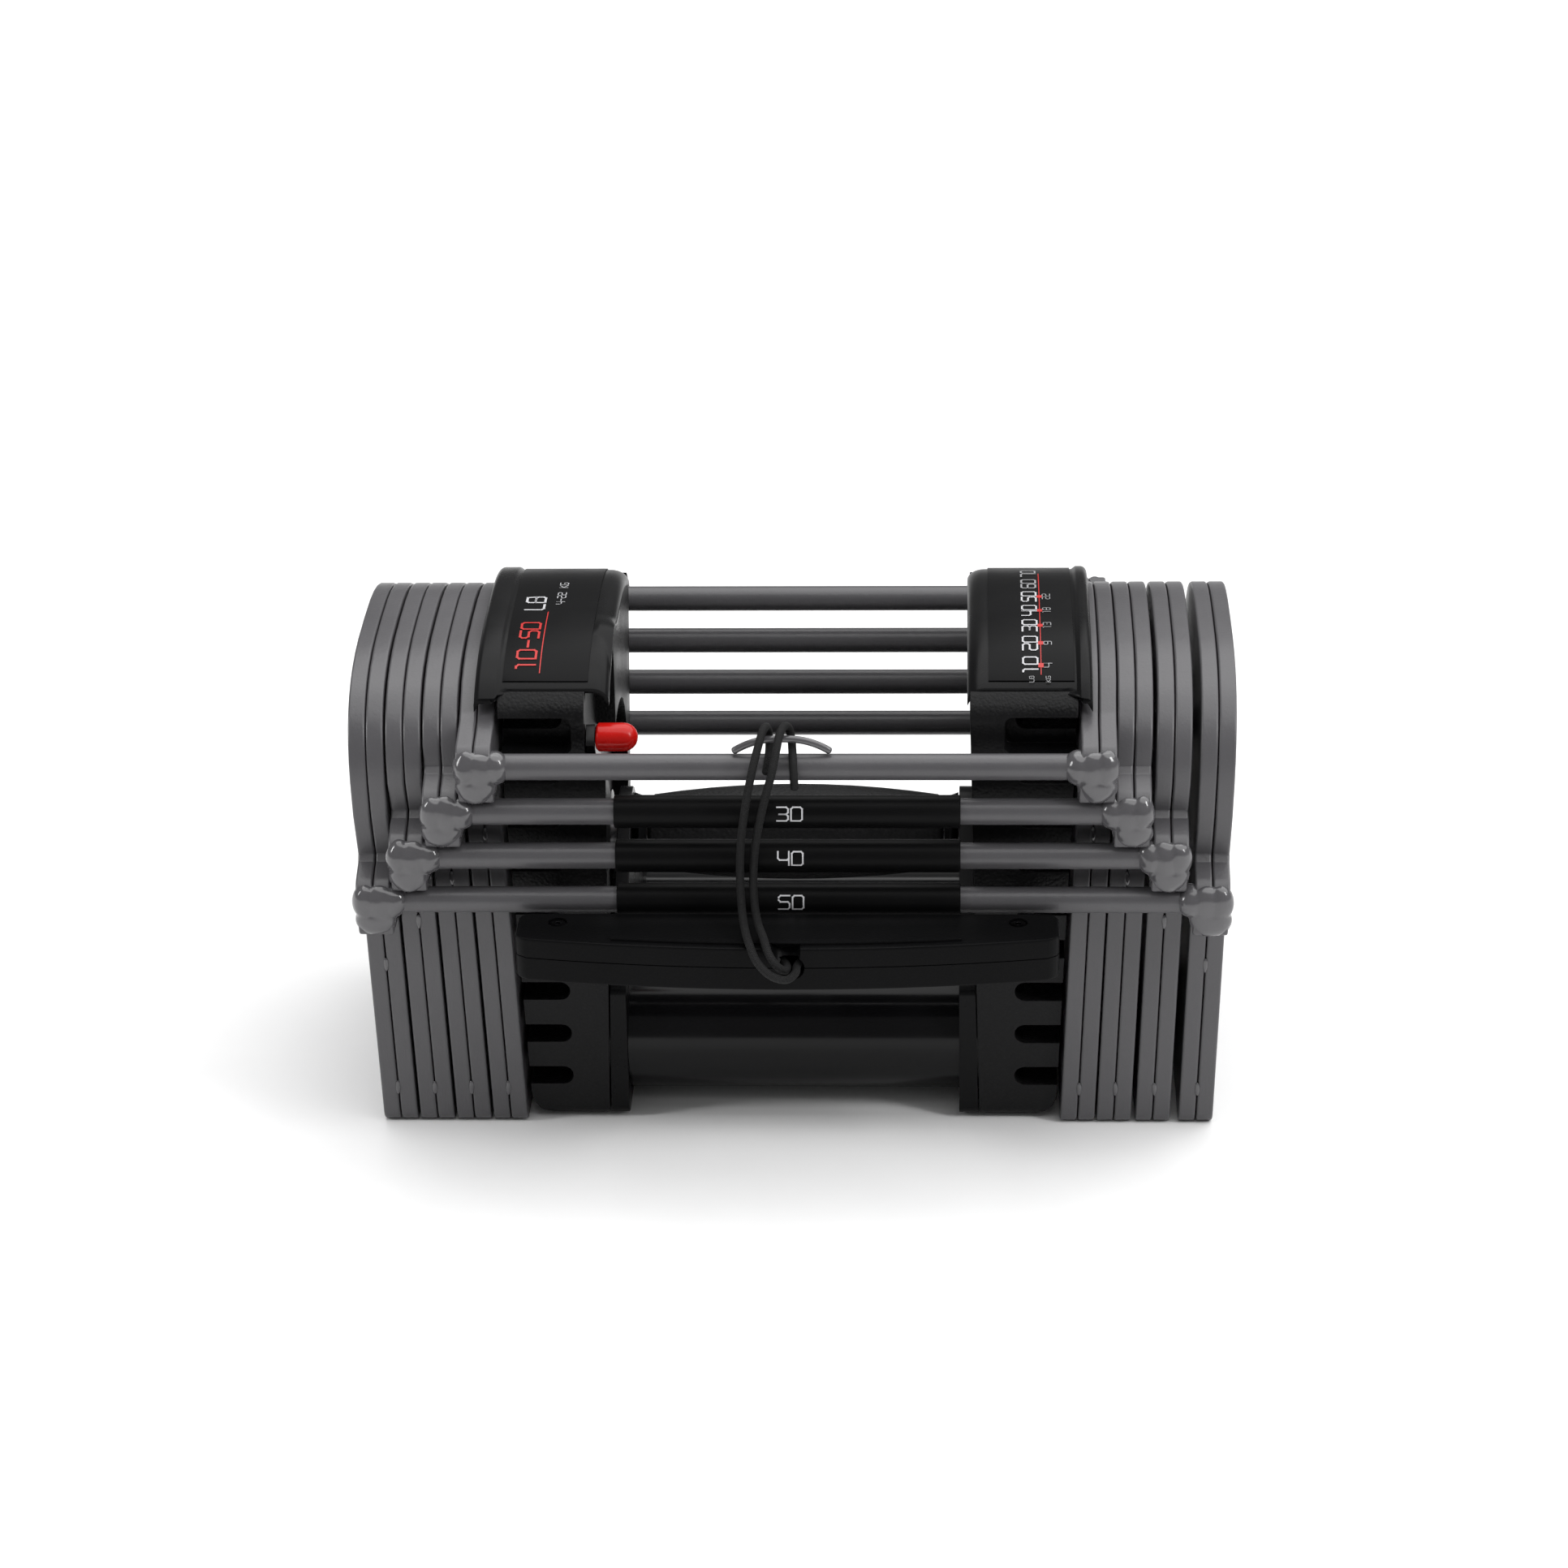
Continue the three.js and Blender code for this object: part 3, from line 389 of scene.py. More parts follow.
def make_object(name, verts, faces, material, body, smooth=True, uvs=None):
    """A mesh object from arrays: verts (n, 3) in metres, faces a list of index arrays.

    body is the body it rides on, or None for a piece that is blended between two.
    """
    mesh = bpy.data.meshes.new(name)
    mesh.from_pydata(np.asarray(verts, float).tolist(), [], [list(map(int, f)) for f in faces])
    mesh.validate()
    if uvs is not None:
        layer = mesh.uv_layers.new(name="UVMap")
        layer.data.foreach_set("uv", np.asarray(uvs, np.float32).ravel())
    mesh.polygons.foreach_set("use_smooth", np.full(len(mesh.polygons), smooth))
    mesh.materials.append(material)
    mesh.update()
    made = bpy.data.objects.new(name, mesh)
    bpy.context.scene.collection.objects.link(made)
    if body:
        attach(made, body)
    return made


def body_of_node(node):
    """The body that a CAD node belongs to."""
    return frame["nodes"][node]["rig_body"]


def softened(node, material, edge=None, segments=3, angle=32.0):
    """A merged copy of a CAD node with rounded edges and smooth curved faces, standing for it.

    The copy's triangles are merged, its flat faces dissolved into whole faces, and a bevel
    rounds each edge sharper than the given angle.
    """
    looks = bpy.context.scene.dumbbell_looks
    mesh = frame["nodes"][node].data.copy()
    mesh.name = node + "_fine"
    work = bmesh.new()
    work.from_mesh(mesh)
    bmesh.ops.remove_doubles(work, verts=work.verts, dist=0.000002)
    bmesh.ops.dissolve_limit(work, angle_limit=math.radians(0.4), verts=work.verts,
                             edges=work.edges, use_dissolve_boundaries=False)
    bmesh.ops.recalc_face_normals(work, faces=work.faces)
    work.to_mesh(mesh)
    work.free()
    for name in [a.name for a in mesh.attributes if a.name == "custom_normal"]:
        mesh.attributes.remove(mesh.attributes[name])
    mesh.materials.clear()
    mesh.materials.append(material)
    mesh.polygons.foreach_set("use_smooth", np.full(len(mesh.polygons), True))
    made = bpy.data.objects.new(node + "_fine", mesh)
    bpy.context.scene.collection.objects.link(made)
    width = looks.edge if edge is None else edge
    if width > 0:
        bevel = made.modifiers.new("rounded_edges", "BEVEL")
        bevel.width = width
        bevel.segments = segments
        bevel.limit_method = "ANGLE"
        bevel.angle_limit = math.radians(angle)
        bevel.use_clamp_overlap = True
        bevel.harden_normals = False
    shade = made.modifiers.new("even_normals", "WEIGHTED_NORMAL")
    shade.keep_sharp = True
    shade.weight = 60
    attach(made, body_of_node(node))
    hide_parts(node)
    return made


def turned(name, profile, centre, sides, material, body, replaced):
    """A surface of revolution about an X axis through centre.

    The profile is a closed loop of (x, radius) in millimetres, walked with the solid on its
    left; each of its points is turned through equal angles, and neighbours are joined by quads.
    """
    loop = np.asarray(profile, float) * MM
    turn = np.arange(sides) * 2 * math.pi / sides
    x = np.repeat(loop[:, 0], sides)
    r = np.repeat(loop[:, 1], sides)
    t = np.tile(turn, len(loop))
    verts = np.stack([centre.x + x, centre.y + r * np.cos(t), centre.z + r * np.sin(t)], 1)
    i = np.arange(len(loop))[:, None]
    j = np.arange(sides)[None, :]
    nxt_i, nxt_j = (i + 1) % len(loop), (j + 1) % sides
    faces = np.stack([i * sides + j, i * sides + nxt_j, nxt_i * sides + nxt_j, nxt_i * sides + j], -1)
    made = make_object(name, verts, faces.reshape(-1, 4), material, body)
    outward(made)
    made.data.set_sharp_from_angle(angle=math.radians(38))
    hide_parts(*replaced)
    return made


def outward(made):
    """Turns the faces of each closed shell outward."""
    work = bmesh.new()
    work.from_mesh(made.data)
    bmesh.ops.recalc_face_normals(work, faces=work.faces)
    work.to_mesh(made.data)
    work.free()


def ring_quads(rows, count, back=False):
    """Quads between neighbouring rings of count points; back walks each quad the other way."""
    i = np.arange(rows - 1)[:, None]
    j = np.arange(count)[None, :]
    k = (j + 1) % count
    a, b, c, d = i * count + j, (i + 1) * count + j, (i + 1) * count + k, i * count + k
    return np.stack([a, d, c, b] if back else [a, b, c, d], -1).reshape(-1, 4)


def blob(centre, radii, seed, rows=18, columns=28, rough=0.09):
    """A lumpy closed ball as (verts, faces).

    A sphere's points are scaled by the three radii, and each is moved in or out by a sum of
    a few slow sine waves whose directions and phases come from the seed.
    """
    rng = np.random.default_rng(seed)
    lat = np.linspace(0, math.pi, rows + 1)[1:-1]
    lon = np.arange(columns) * 2 * math.pi / columns
    a, b = np.meshgrid(lat, lon, indexing="ij")
    unit = np.stack([np.sin(a) * np.cos(b), np.sin(a) * np.sin(b), np.cos(a)], -1).reshape(-1, 3)
    unit = np.vstack([unit, [[0, 0, 1], [0, 0, -1]]])
    wobble = np.zeros(len(unit))
    for _ in range(5):
        wobble += np.sin(unit @ (rng.normal(size=3) * 2.4) + rng.uniform(0, 6.28)) / 5
    verts = unit * (1 + rough * 2 * wobble)[:, None] * (np.asarray(radii) * MM) + np.asarray(centre)
    top, bottom = len(unit) - 2, len(unit) - 1
    ring = np.arange(columns)
    nxt = (ring + 1) % columns
    last = (rows - 2) * columns
    caps = [[top, p, q] for p, q in zip(ring, nxt)]
    caps += [[bottom, last + q, last + p] for p, q in zip(ring, nxt)]
    return verts, list(ring_quads(rows - 1, columns)) + caps


def joined(parts):
    """Several (verts, faces) put into one."""
    verts, faces, start = [], [], 0
    for v, f in parts:
        verts.append(v)
        faces.extend([np.asarray(face) + start for face in f])
        start += len(v)
    return np.vstack(verts), faces


# ------------------------------------------------------------------ numerals

# Each figure is one pen line on a grid one wide and two high, its corners cut.
FIGURES = {
    "0": [(0.0, 0.0), (1.0, 0.0), (1.0, 2.0), (0.0, 2.0), (0.0, 0.0)],
    "1": [(0.3, 2.0), (0.62, 2.0), (0.62, 0.0)],
    "2": [(0.0, 2.0), (1.0, 2.0), (1.0, 1.05), (0.0, 1.05), (0.0, 0.0), (1.0, 0.0)],
    "3": [(0.0, 2.0), (1.0, 2.0), (1.0, 1.0), (0.2, 1.0), (1.0, 1.0), (1.0, 0.0), (0.0, 0.0)],
    "4": [(0.0, 2.0), (0.0, 0.8), (1.0, 0.8), (1.0, 2.0), (1.0, 0.0)],
    "5": [(1.0, 2.0), (0.0, 2.0), (0.0, 1.1), (1.0, 1.1), (1.0, 0.0), (0.0, 0.0)],
    "6": [(1.0, 2.0), (0.0, 2.0), (0.0, 0.0), (1.0, 0.0), (1.0, 1.1), (0.0, 1.1)],
    "7": [(0.0, 2.0), (1.0, 2.0), (1.0, 0.0)],
    "8": [(0.0, 1.0), (0.0, 0.0), (1.0, 0.0), (1.0, 2.0), (0.0, 2.0), (0.0, 1.0), (1.0, 1.0)],
    "9": [(0.0, 0.0), (1.0, 0.0), (1.0, 2.0), (0.0, 2.0), (0.0, 0.95), (1.0, 0.95)],
    "L": [(0.0, 2.0), (0.0, 0.0), (0.9, 0.0)],
    "B": [(0.0, 0.0), (0.0, 2.0), (0.9, 2.0), (1.0, 1.05), (0.0, 1.05), (1.0, 1.05), (1.0, 0.0), (0.0, 0.0)],
    "K": [(0.0, 0.0), (0.0, 2.0), (0.0, 1.0), (1.0, 2.0), (0.1, 1.0), (1.0, 0.0)],
    "G": [(1.0, 2.0), (0.0, 2.0), (0.0, 0.0), (1.0, 0.0), (1.0, 1.0), (0.55, 1.0)],
    "-": [(0.1, 1.0), (0.9, 1.0)],
}


def cut_corners(points, cut=0.26):
    """The pen line with each square corner replaced by two points a little way from it."""
    out = [points[0]]
    for before, here, after in zip(points, points[1:], points[2:]):
        back = math.dist(before, here)
        ahead = math.dist(here, after)
        straight = (here[0] - before[0]) * (after[0] - here[0]) + (here[1] - before[1]) * (after[1] - here[1])
        if abs(straight) > 0.01 * back * ahead:
            out.append(here)
            continue
        for other, run in ((before, back), (after, ahead)):
            t = min(cut, run / 2) / run
            out.append((here[0] + (other[0] - here[0]) * t, here[1] + (other[1] - here[1]) * t))
    return out + [points[-1]]


def pen_line(points, width):
    """A flat band of the given width along each straight stretch, with square overlapping ends."""
    bands = []
    for (x0, y0), (x1, y1) in zip(points, points[1:]):
        run = math.hypot(x1 - x0, y1 - y0)
        dx, dy = (x1 - x0) / run * width / 2, (y1 - y0) / run * width / 2
        steps = max(1, int(run / 0.2))
        t = np.linspace(0, 1, steps + 1)
        px = (x0 - dx) + (x1 - x0 + 2 * dx) * t
        py = (y0 - dy) + (y1 - y0 + 2 * dy) * t
        verts = np.concatenate([np.stack([px - dy, py + dx], 1), np.stack([px + dy, py - dx], 1)])
        n = steps + 1
        faces = [[i, n + i, n + i + 1, i + 1] for i in range(steps)]
        bands.append((verts, faces))
    return joined(bands)


def figures(text, height, pen=0.27, wide=1.55, gap=0.42):
    """Flat (verts, faces) of a line of figures, centred, with x along the line and y up."""
    parts = []
    for i, mark in enumerate(text):
        line = [(x * wide, y) for x, y in FIGURES[mark]]
        verts, faces = pen_line(cut_corners(line), pen)
        parts.append((verts + [i * (wide + gap), 0.0], faces))
    verts, faces = joined(parts)
    span = len(text) * (wide + gap) - gap
    verts = (verts - [span / 2, 1.0]) * (height / 2)
    return verts, faces


# ------------------------------------------------------------------ operators

class DUMBBELL_OT_stage(bpy.types.Operator):
    """Adds the pale floor, the soft studio light and the camera."""

    bl_idname = "dumbbell.stage"
    bl_label = "Stage"

    def execute(self, context):
        settings = context.scene.dumbbell_stage
        size = 6.0
        verts = np.array([[-size, -size, 0], [size, -size, 0], [size, size, 0], [-size, size, 0]])
        mesh = bpy.data.meshes.new("floor")
        mesh.from_pydata(verts.tolist(), [], [[0, 1, 2, 3]])
        floor = bpy.data.objects.new("floor", mesh)
        context.scene.collection.objects.link(floor)
        mesh.materials.append(finish_material(
            "floor_white", (0.93, 0.93, 0.93), "satin_marks", 40.0, rough=(0.5, 0.6), spread=0.005,
            bump=0.0, specular=0.2))

        world = bpy.data.worlds.new("studio")
        world.use_nodes = True
        sky = world.node_tree.nodes["Background"]
        sky.inputs["Color"].default_value = (1, 1, 1, 1)
        sky.inputs["Strength"].default_value = settings.sky
        context.scene.world = world
        context.scene.view_settings.view_transform = "Standard"
        context.scene.view_settings.look = "None"

        key = bpy.data.lights.new("key", "SUN")
        key.energy = settings.key
        key.angle = math.radians(90)
        above = bpy.data.objects.new("key", key)
        context.scene.collection.objects.link(above)
        above.rotation_euler = Vector((-0.30, -0.22, -1.0)).to_track_quat("-Z", "Y").to_euler()
        self.lamp("left_box", settings.strip, (-1.2, -0.35, 0.75), (0.2, 0.6))
        self.lamp("right_box", settings.strip * 1.2, (1.15, -0.55, 0.95), (0.2, 0.6))
        self.lamp("top_box", settings.strip * 0.3, (0.0, 0.35, 1.3), (1.3, 0.35))

        data = bpy.data.cameras.new("camera")
        data.lens = settings.lens
        data.sensor_width = 36.0
        data.clip_end = 20.0
        data.dof.use_dof = False
        camera = bpy.data.objects.new("camera", data)
        context.scene.collection.objects.link(camera)
        elevation, yaw, roll = math.radians(25.271), math.radians(-2.53), math.radians(-1.078)
        forward = Vector((math.sin(yaw) * math.cos(elevation), math.cos(yaw) * math.cos(elevation),
                          -math.sin(elevation)))
        right = Vector((math.cos(yaw), -math.sin(yaw), 0.0))
        up = right.cross(forward)
        level = math.cos(roll) * right + math.sin(roll) * up
        upright = -math.sin(roll) * right + math.cos(roll) * up
        turn = Matrix((level, upright, -forward)).transposed().to_4x4()
        place = at(0, 0, 102.22) + right * (-4.10 * MM) - forward * 1.61437
        camera.matrix_world = Matrix.Translation(place) @ turn
        context.scene.camera = camera
        return {"FINISHED"}

    def lamp(self, name, power, place, size):
        """An area light of the given size, aimed at the object's middle."""
        data = bpy.data.lights.new(name, "AREA")
        data.shape = "RECTANGLE"
        data.size, data.size_y = size
        data.energy = power
        made = bpy.data.objects.new(name, data)
        bpy.context.scene.collection.objects.link(made)
        made.location = place
        made.rotation_euler = (at(0, 0, 80) - Vector(place)).to_track_quat("-Z", "Y").to_euler()


# Points of the tether's middle line, in millimetres from the grip's axis on the floor.
PIN_Z = 83.88
CORD_ROUTE = [
    (2.9, -80.2, 138.5), (2.7, -79.6, 143), (2.4, -77.3, 148.2), (2.1, -72.8, 149.5),
    (1.7, -68.9, 151.6), (0.9, -68.6, 155.2), (-0.4, -71.6, 157.4), (-1.8, -75.8, 156.6),
    (-2.9, -79.4, 152.6), (-4.5, -82.2, 145), (-7.4, -82.8, 134), (-10.4, -82.6, 119),
    (-11.4, -84, 106), (-10.8, -89, 98.4), (-9.4, -96.5, 95.6), (-7.4, -104.4, 94.6),
    (-5.4, -109.4, 90.8), (-2.6, -110, 86.6), (-0.2, -108.4, 84.3), (0.4, -104.6, PIN_Z),
    (-1.4, -99.6, PIN_Z), (-3.6, -95, PIN_Z), (-1.9, -90.8, PIN_Z), (2, -89.2, PIN_Z),
    (5.9, -90.8, PIN_Z), (7.6, -95, PIN_Z), (5.4, -99.6, PIN_Z), (3.7, -104.4, PIN_Z),
    (3.3, -108.6, 83.4), (0.4, -112.2, 82.8), (-4.6, -113, 84.6), (-9.4, -110.8, 88.8),
    (-12.4, -105.4, 93.7), (-14.2, -97, 96), (-15.2, -89.5, 98.6), (-15.8, -84.9, 106),
    (-15.4, -83.4, 119), (-13.4, -83, 134), (-11, -81.8, 146), (-9, -78.8, 153.4),
    (-7.6, -75, 157.1), (-6.6, -71.2, 157), (-6, -68.7, 154), (-5.7, -69.6, 150.9),
    (-5.6, -73.2, 149.3), (-5.8, -76.9, 147.6), (-6.6, -78.9, 143.6),
]


def smooth_route(points, each=9):
    """A centripetal Catmull-Rom curve through the points, in rows of metres.

    Each stretch between two points is a cubic whose end tangents come from its neighbours,
    weighted by the square roots of the distances between the points.
    """
    p = np.array(points, float)
    p = np.vstack([2 * p[0] - p[1], p, 2 * p[-1] - p[-2]])
    p0, p1, p2, p3 = p[:-3], p[1:-2], p[2:-1], p[3:]
    root = [np.sqrt(np.linalg.norm(b - a, axis=1))[:, None] for a, b in ((p0, p1), (p1, p2), (p2, p3))]
    m1 = ((p1 - p0) / root[0] - (p2 - p0) / (root[0] + root[1]) + (p2 - p1) / root[1]) * root[1]
    m2 = ((p2 - p1) / root[1] - (p3 - p1) / (root[1] + root[2]) + (p3 - p2) / root[2]) * root[1]
    t = (np.arange(each) / each)[None, :, None]
    a, b, c, d = p1[:, None], m1[:, None], p2[:, None], m2[:, None]
    curve = ((2 * t**3 - 3 * t**2 + 1) * a + (t**3 - 2 * t**2 + t) * b
             + (-2 * t**3 + 3 * t**2) * c + (t**3 - t**2) * d)
    return np.vstack([curve.reshape(-1, 3), p[-2]]) * MM + np.array(HERE)


def tube_along(path, radius, sides, lay=0.003):
    """A round tube with closed ends along a path, as (verts, faces, uvs of the faces' corners).

    The section's axes are carried along the path: at each row the last row's side axis is
    made square to the new direction. The ends are capped by smaller rings and a middle point.
    """
    step = np.gradient(path, axis=0)
    step /= np.linalg.norm(step, axis=1)[:, None]
    side = np.zeros_like(path)
    first = np.cross(step[0], [0.3, 0.2, 1.0])
    side[0] = first / np.linalg.norm(first)
    for i in range(1, len(path)):
        s = side[i - 1] - step[i] * (side[i - 1] @ step[i])
        side[i] = s / np.linalg.norm(s)
    other = np.cross(step, side)
    ends = np.array([0.45, 0.85])
    rows = np.concatenate([[0, 0], np.arange(len(path)), [len(path) - 1] * 2])
    scale = np.concatenate([ends, np.ones(len(path)), ends[::-1]])
    shift = np.concatenate([[-0.6, -0.35], np.zeros(len(path)), [0.35, 0.6]]) * radius
    t = np.arange(sides) * 2 * math.pi / sides
    ring = np.cos(t)[None, :, None] * side[rows][:, None] + np.sin(t)[None, :, None] * other[rows][:, None]
    centre = path[rows] + step[rows] * shift[:, None]
    verts = (centre[:, None] + ring * (radius * scale)[:, None, None]).reshape(-1, 3)
    n = len(rows)
    tips = np.array([path[0] - step[0] * radius * 0.65, path[-1] + step[-1] * radius * 0.65])
    a, b = len(verts), len(verts) + 1
    verts = np.vstack([verts, tips])
    ring_ids = np.arange(sides)
    nxt = (ring_ids + 1) % sides
    base = (n - 1) * sides
    caps = [[a, q, p] for p, q in zip(ring_ids, nxt)]
    caps += [[b, base + p, base + q] for p, q in zip(ring_ids, nxt)]
    length = np.concatenate([[0], np.cumsum(np.linalg.norm(np.diff(centre, axis=0), axis=1))]) / lay
    u0 = np.tile(np.arange(sides), n - 1) / sides
    v0 = np.repeat(length[:-1], sides)
    v1 = np.repeat(length[1:], sides)
    corners = np.stack([np.stack([u0, v0], 1), np.stack([u0 + 1 / sides, v0], 1),
                        np.stack([u0 + 1 / sides, v1], 1), np.stack([u0, v1], 1)], 1).reshape(-1, 2)
    uvs = np.vstack([corners, np.zeros((6 * sides, 2))])
    return verts, list(ring_quads(n, sides, back=True)) + caps, uvs


class DUMBBELL_OT_tether(bpy.types.Operator):
    """Adds the braided elastic tether, tied on the eyelet and looped through the pin's handle."""

    bl_idname = "dumbbell.tether"
    bl_label = "Tether"

    def execute(self, context):
        looks = context.scene.dumbbell_looks
        path = smooth_route(CORD_ROUTE)
        verts, faces, uvs = tube_along(path, 1.4 * MM, 20)
        # The speck weight below gives the cord's braid crests a strong painted highlight and leaves painted
        # shade in its grooves.
        made = make_object(
            "tether", verts, faces,
            finish_material("cord_braid", looks.cord, "braid", 1.0, rough=(0.6, 0.75), spread=0.15,
                            bump=0.8, depth=0.0003, speck_and_crest_light=0.9, uv=True, specular=0.3),
            None, uvs=uvs)
        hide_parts("tether_cord")
        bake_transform(made, "ring_20", "pin", start=at(-8, -80, 138), end=at(-8, -98, 95))
        return {"FINISHED"}


class DUMBBELL_OT_plates(bpy.types.Operator):
    """Finishes the sixteen ring plates."""

    bl_idname = "dumbbell.plates"
    bl_label = "Ring plates"

    def execute(self, context):
        for ring in RINGS:
            for side in SIDES:
                for place in ("inner", "outer"):
                    softened(f"ring_{ring}_plate_{side}_{place}", coat_material(),
                             edge=0.0004, segments=2, angle=25.0)
        return {"FINISHED"}


class DUMBBELL_OT_rails(bpy.types.Operator):
    """Finishes the rails, the eyelet and the printed sleeves."""

    bl_idname = "dumbbell.rails"
    bl_label = "Rails and sleeves"

    def execute(self, context):
        looks = context.scene.dumbbell_looks
        for ring in RINGS:
            for place in ("front", "rear"):
                node = f"ring_{ring}_rail_{place}"
                low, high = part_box(node)
                half = (high.x - low.x) / 2 / MM
                radius = (high.z - low.z) / 2 / MM
                profile = [(-half, 0.01), (-half, radius), (-half + 0.5, radius), (0, radius),
                           (half - 0.5, radius), (half, radius), (half, 0.01)]
                turned(f"rail_{ring}_{place}", profile, middle(node), 48, coat_material(),
                       f"ring_{ring}", [node])
        path = smooth_eyelet()
        verts, faces, _ = tube_along(path, 1.25 * MM, 20)
        eyelet = make_object("eyelet", verts, faces, weld_material(), "ring_20")
        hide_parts("ring_20_eyelet")
        sleeve = finish_material("vinyl_sleeve", looks.sleeve, "satin_marks", 900.0, rough=(0.36, 0.46),
                                 spread=0.1, bump=0.08, depth=0.0001, speck_and_crest_light=0.2, specular=0.08)
        ink = flat_print("ink_white", looks.print_)
        for ring in RINGS[1:]:
            node = f"ring_{ring}_sleeve"
            low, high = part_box(node)
            half = (high.x - low.x) / 2 / MM
            radius = (high.z - low.z) / 2 / MM
            bore = radius - 0.85
            profile = [(-half, bore), (-half, radius - 0.25), (-half + 0.25, radius), (0, radius),
                       (half - 0.25, radius), (half, radius - 0.25), (half, bore)]
            centre = middle(node)
            turned(f"sleeve_{ring}", profile, centre, 64, sleeve, f"ring_{ring}", [node])
            flat, faces = figures(ring, looks.numeral, pen=0.22)
            lift = radius * MM + 0.00004
            turn = math.radians(16) + flat[:, 1] / lift
            shift = at(1.0, 0, 0).x
            verts = np.stack([shift + flat[:, 0], centre.y - lift * np.cos(turn),
                              centre.z + lift * np.sin(turn)], 1)
            make_object(f"numeral_{ring}", verts, faces, ink, f"ring_{ring}", smooth=False)
        return {"FINISHED"}


def smooth_eyelet():
    """The eyelet's bent wire: a low arch whose feet stand on the rail."""
    t = np.linspace(-1, 1, 41)
    foot, top = 6.05, 10.4
    rise = foot + (top - foot) * (1 - np.abs(t) ** 2.4)
    x = -1.45 + 15.95 * t
    rail = middle("ring_20_rail_front")
    return np.stack([HERE.x + x * MM, np.full_like(x, rail.y), rail.z + rise * MM], 1)


# Lumps of one weld: how far outboard of the rail's end, how far out from its axis, how far
# above it, and the three radii, all in millimetres.
WELD_LUMPS = (
    (-0.2, 1.0, 0.2, (5.3, 5.8, 6.0)),
    (4.6, 2.4, -0.6, (6.4, 4.6, 7.2)),
    (9.4, 2.6, 0.4, (4.6, 4.4, 6.6)),
    (6.3, 2.4, -6.2, (7.2, 4.4, 6.0)),
)


TACK_SIZE = (0.9, 0.5, 2.6)
PLATE_THICK = 5.85
PLATE_HIGH = 166.8


class DUMBBELL_OT_welds(bpy.types.Operator):
    """Adds the lumpy welds that join the rails to the plates, and the small tacks between plates."""

    bl_idname = "dumbbell.welds"
    bl_label = "Welds"

    def execute(self, context):
        seed = 11
        for ring in RINGS:
            for side, way in (("left", -1), ("right", 1)):
                for place, out in (("front", -1), ("rear", 1)):
                    rail = middle(f"ring_{ring}_rail_{place}")
                    low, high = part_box(f"ring_{ring}_rail_{place}")
                    end = low.x if way < 0 else high.x
                    parts = []
                    for along, stand, lift, size in WELD_LUMPS:
                        seed += 1
                        centre = (end + way * along * MM, rail.y + out * stand * MM, rail.z + lift * MM)
                        parts.append(blob(centre, size, seed, rough=0.045))
                    verts, faces = joined(parts)
                    made = make_object(f"weld_{ring}_{side}_{place}", verts, faces, weld_material(),
                                       f"ring_{ring}")
                    remesh = made.modifiers.new("one_skin", "REMESH")
                    remesh.mode = "VOXEL"
                    remesh.voxel_size = 0.00045
                    remesh.use_smooth_shade = True
                    settle = made.modifiers.new("settle", "SMOOTH")
                    settle.factor = 0.5
                    settle.iterations = 12
                low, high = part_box(f"ring_{ring}_plate_{side}_inner")
                low2, high2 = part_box(f"ring_{ring}_plate_{side}_outer")
                seam = (high.x + low2.x) / 2 if way > 0 else (low.x + high2.x) / 2
                lean = (high.x - low.x) - PLATE_THICK * MM
                tacks = []
                rail_z = middle(f"ring_{ring}_rail_front").z
                for height in (0.014, rail_z - 0.030, rail_z - 0.014):
                    seed += 1
                    tilt = way * lean * (height / (PLATE_HIGH * MM) - 0.5)
                    centre = (seam + tilt, at(0, -62.9, 0).y, height)
                    tacks.append(blob(centre, TACK_SIZE, seed, 10, 14))
                verts, faces = joined(tacks)
                make_object(f"tacks_{ring}_{side}", verts, faces, weld_material(), f"ring_{ring}")
        return {"FINISHED"}


# The crown's curve in millimetres, and how far outside it the domes' top lies.
CROWN = {"half": 65.9, "foot": 121.0, "height": 45.8, "power": 2.9}
DOME_GROW = 4.2
# Radius that the lever's cap keeps clear of, about the grip's axis, with room to spare.
LEVER_CLEAR = 89.0


def crown_height(y, grow):
    """Height of the crown's curve over a depth y, both in millimetres, offset out by grow."""
    ratio = np.minimum(1, np.abs(y) / (CROWN["half"] + grow))
    return CROWN["foot"] + (CROWN["height"] + grow) * (1 - ratio ** CROWN["power"]) ** (1 / CROWN["power"])


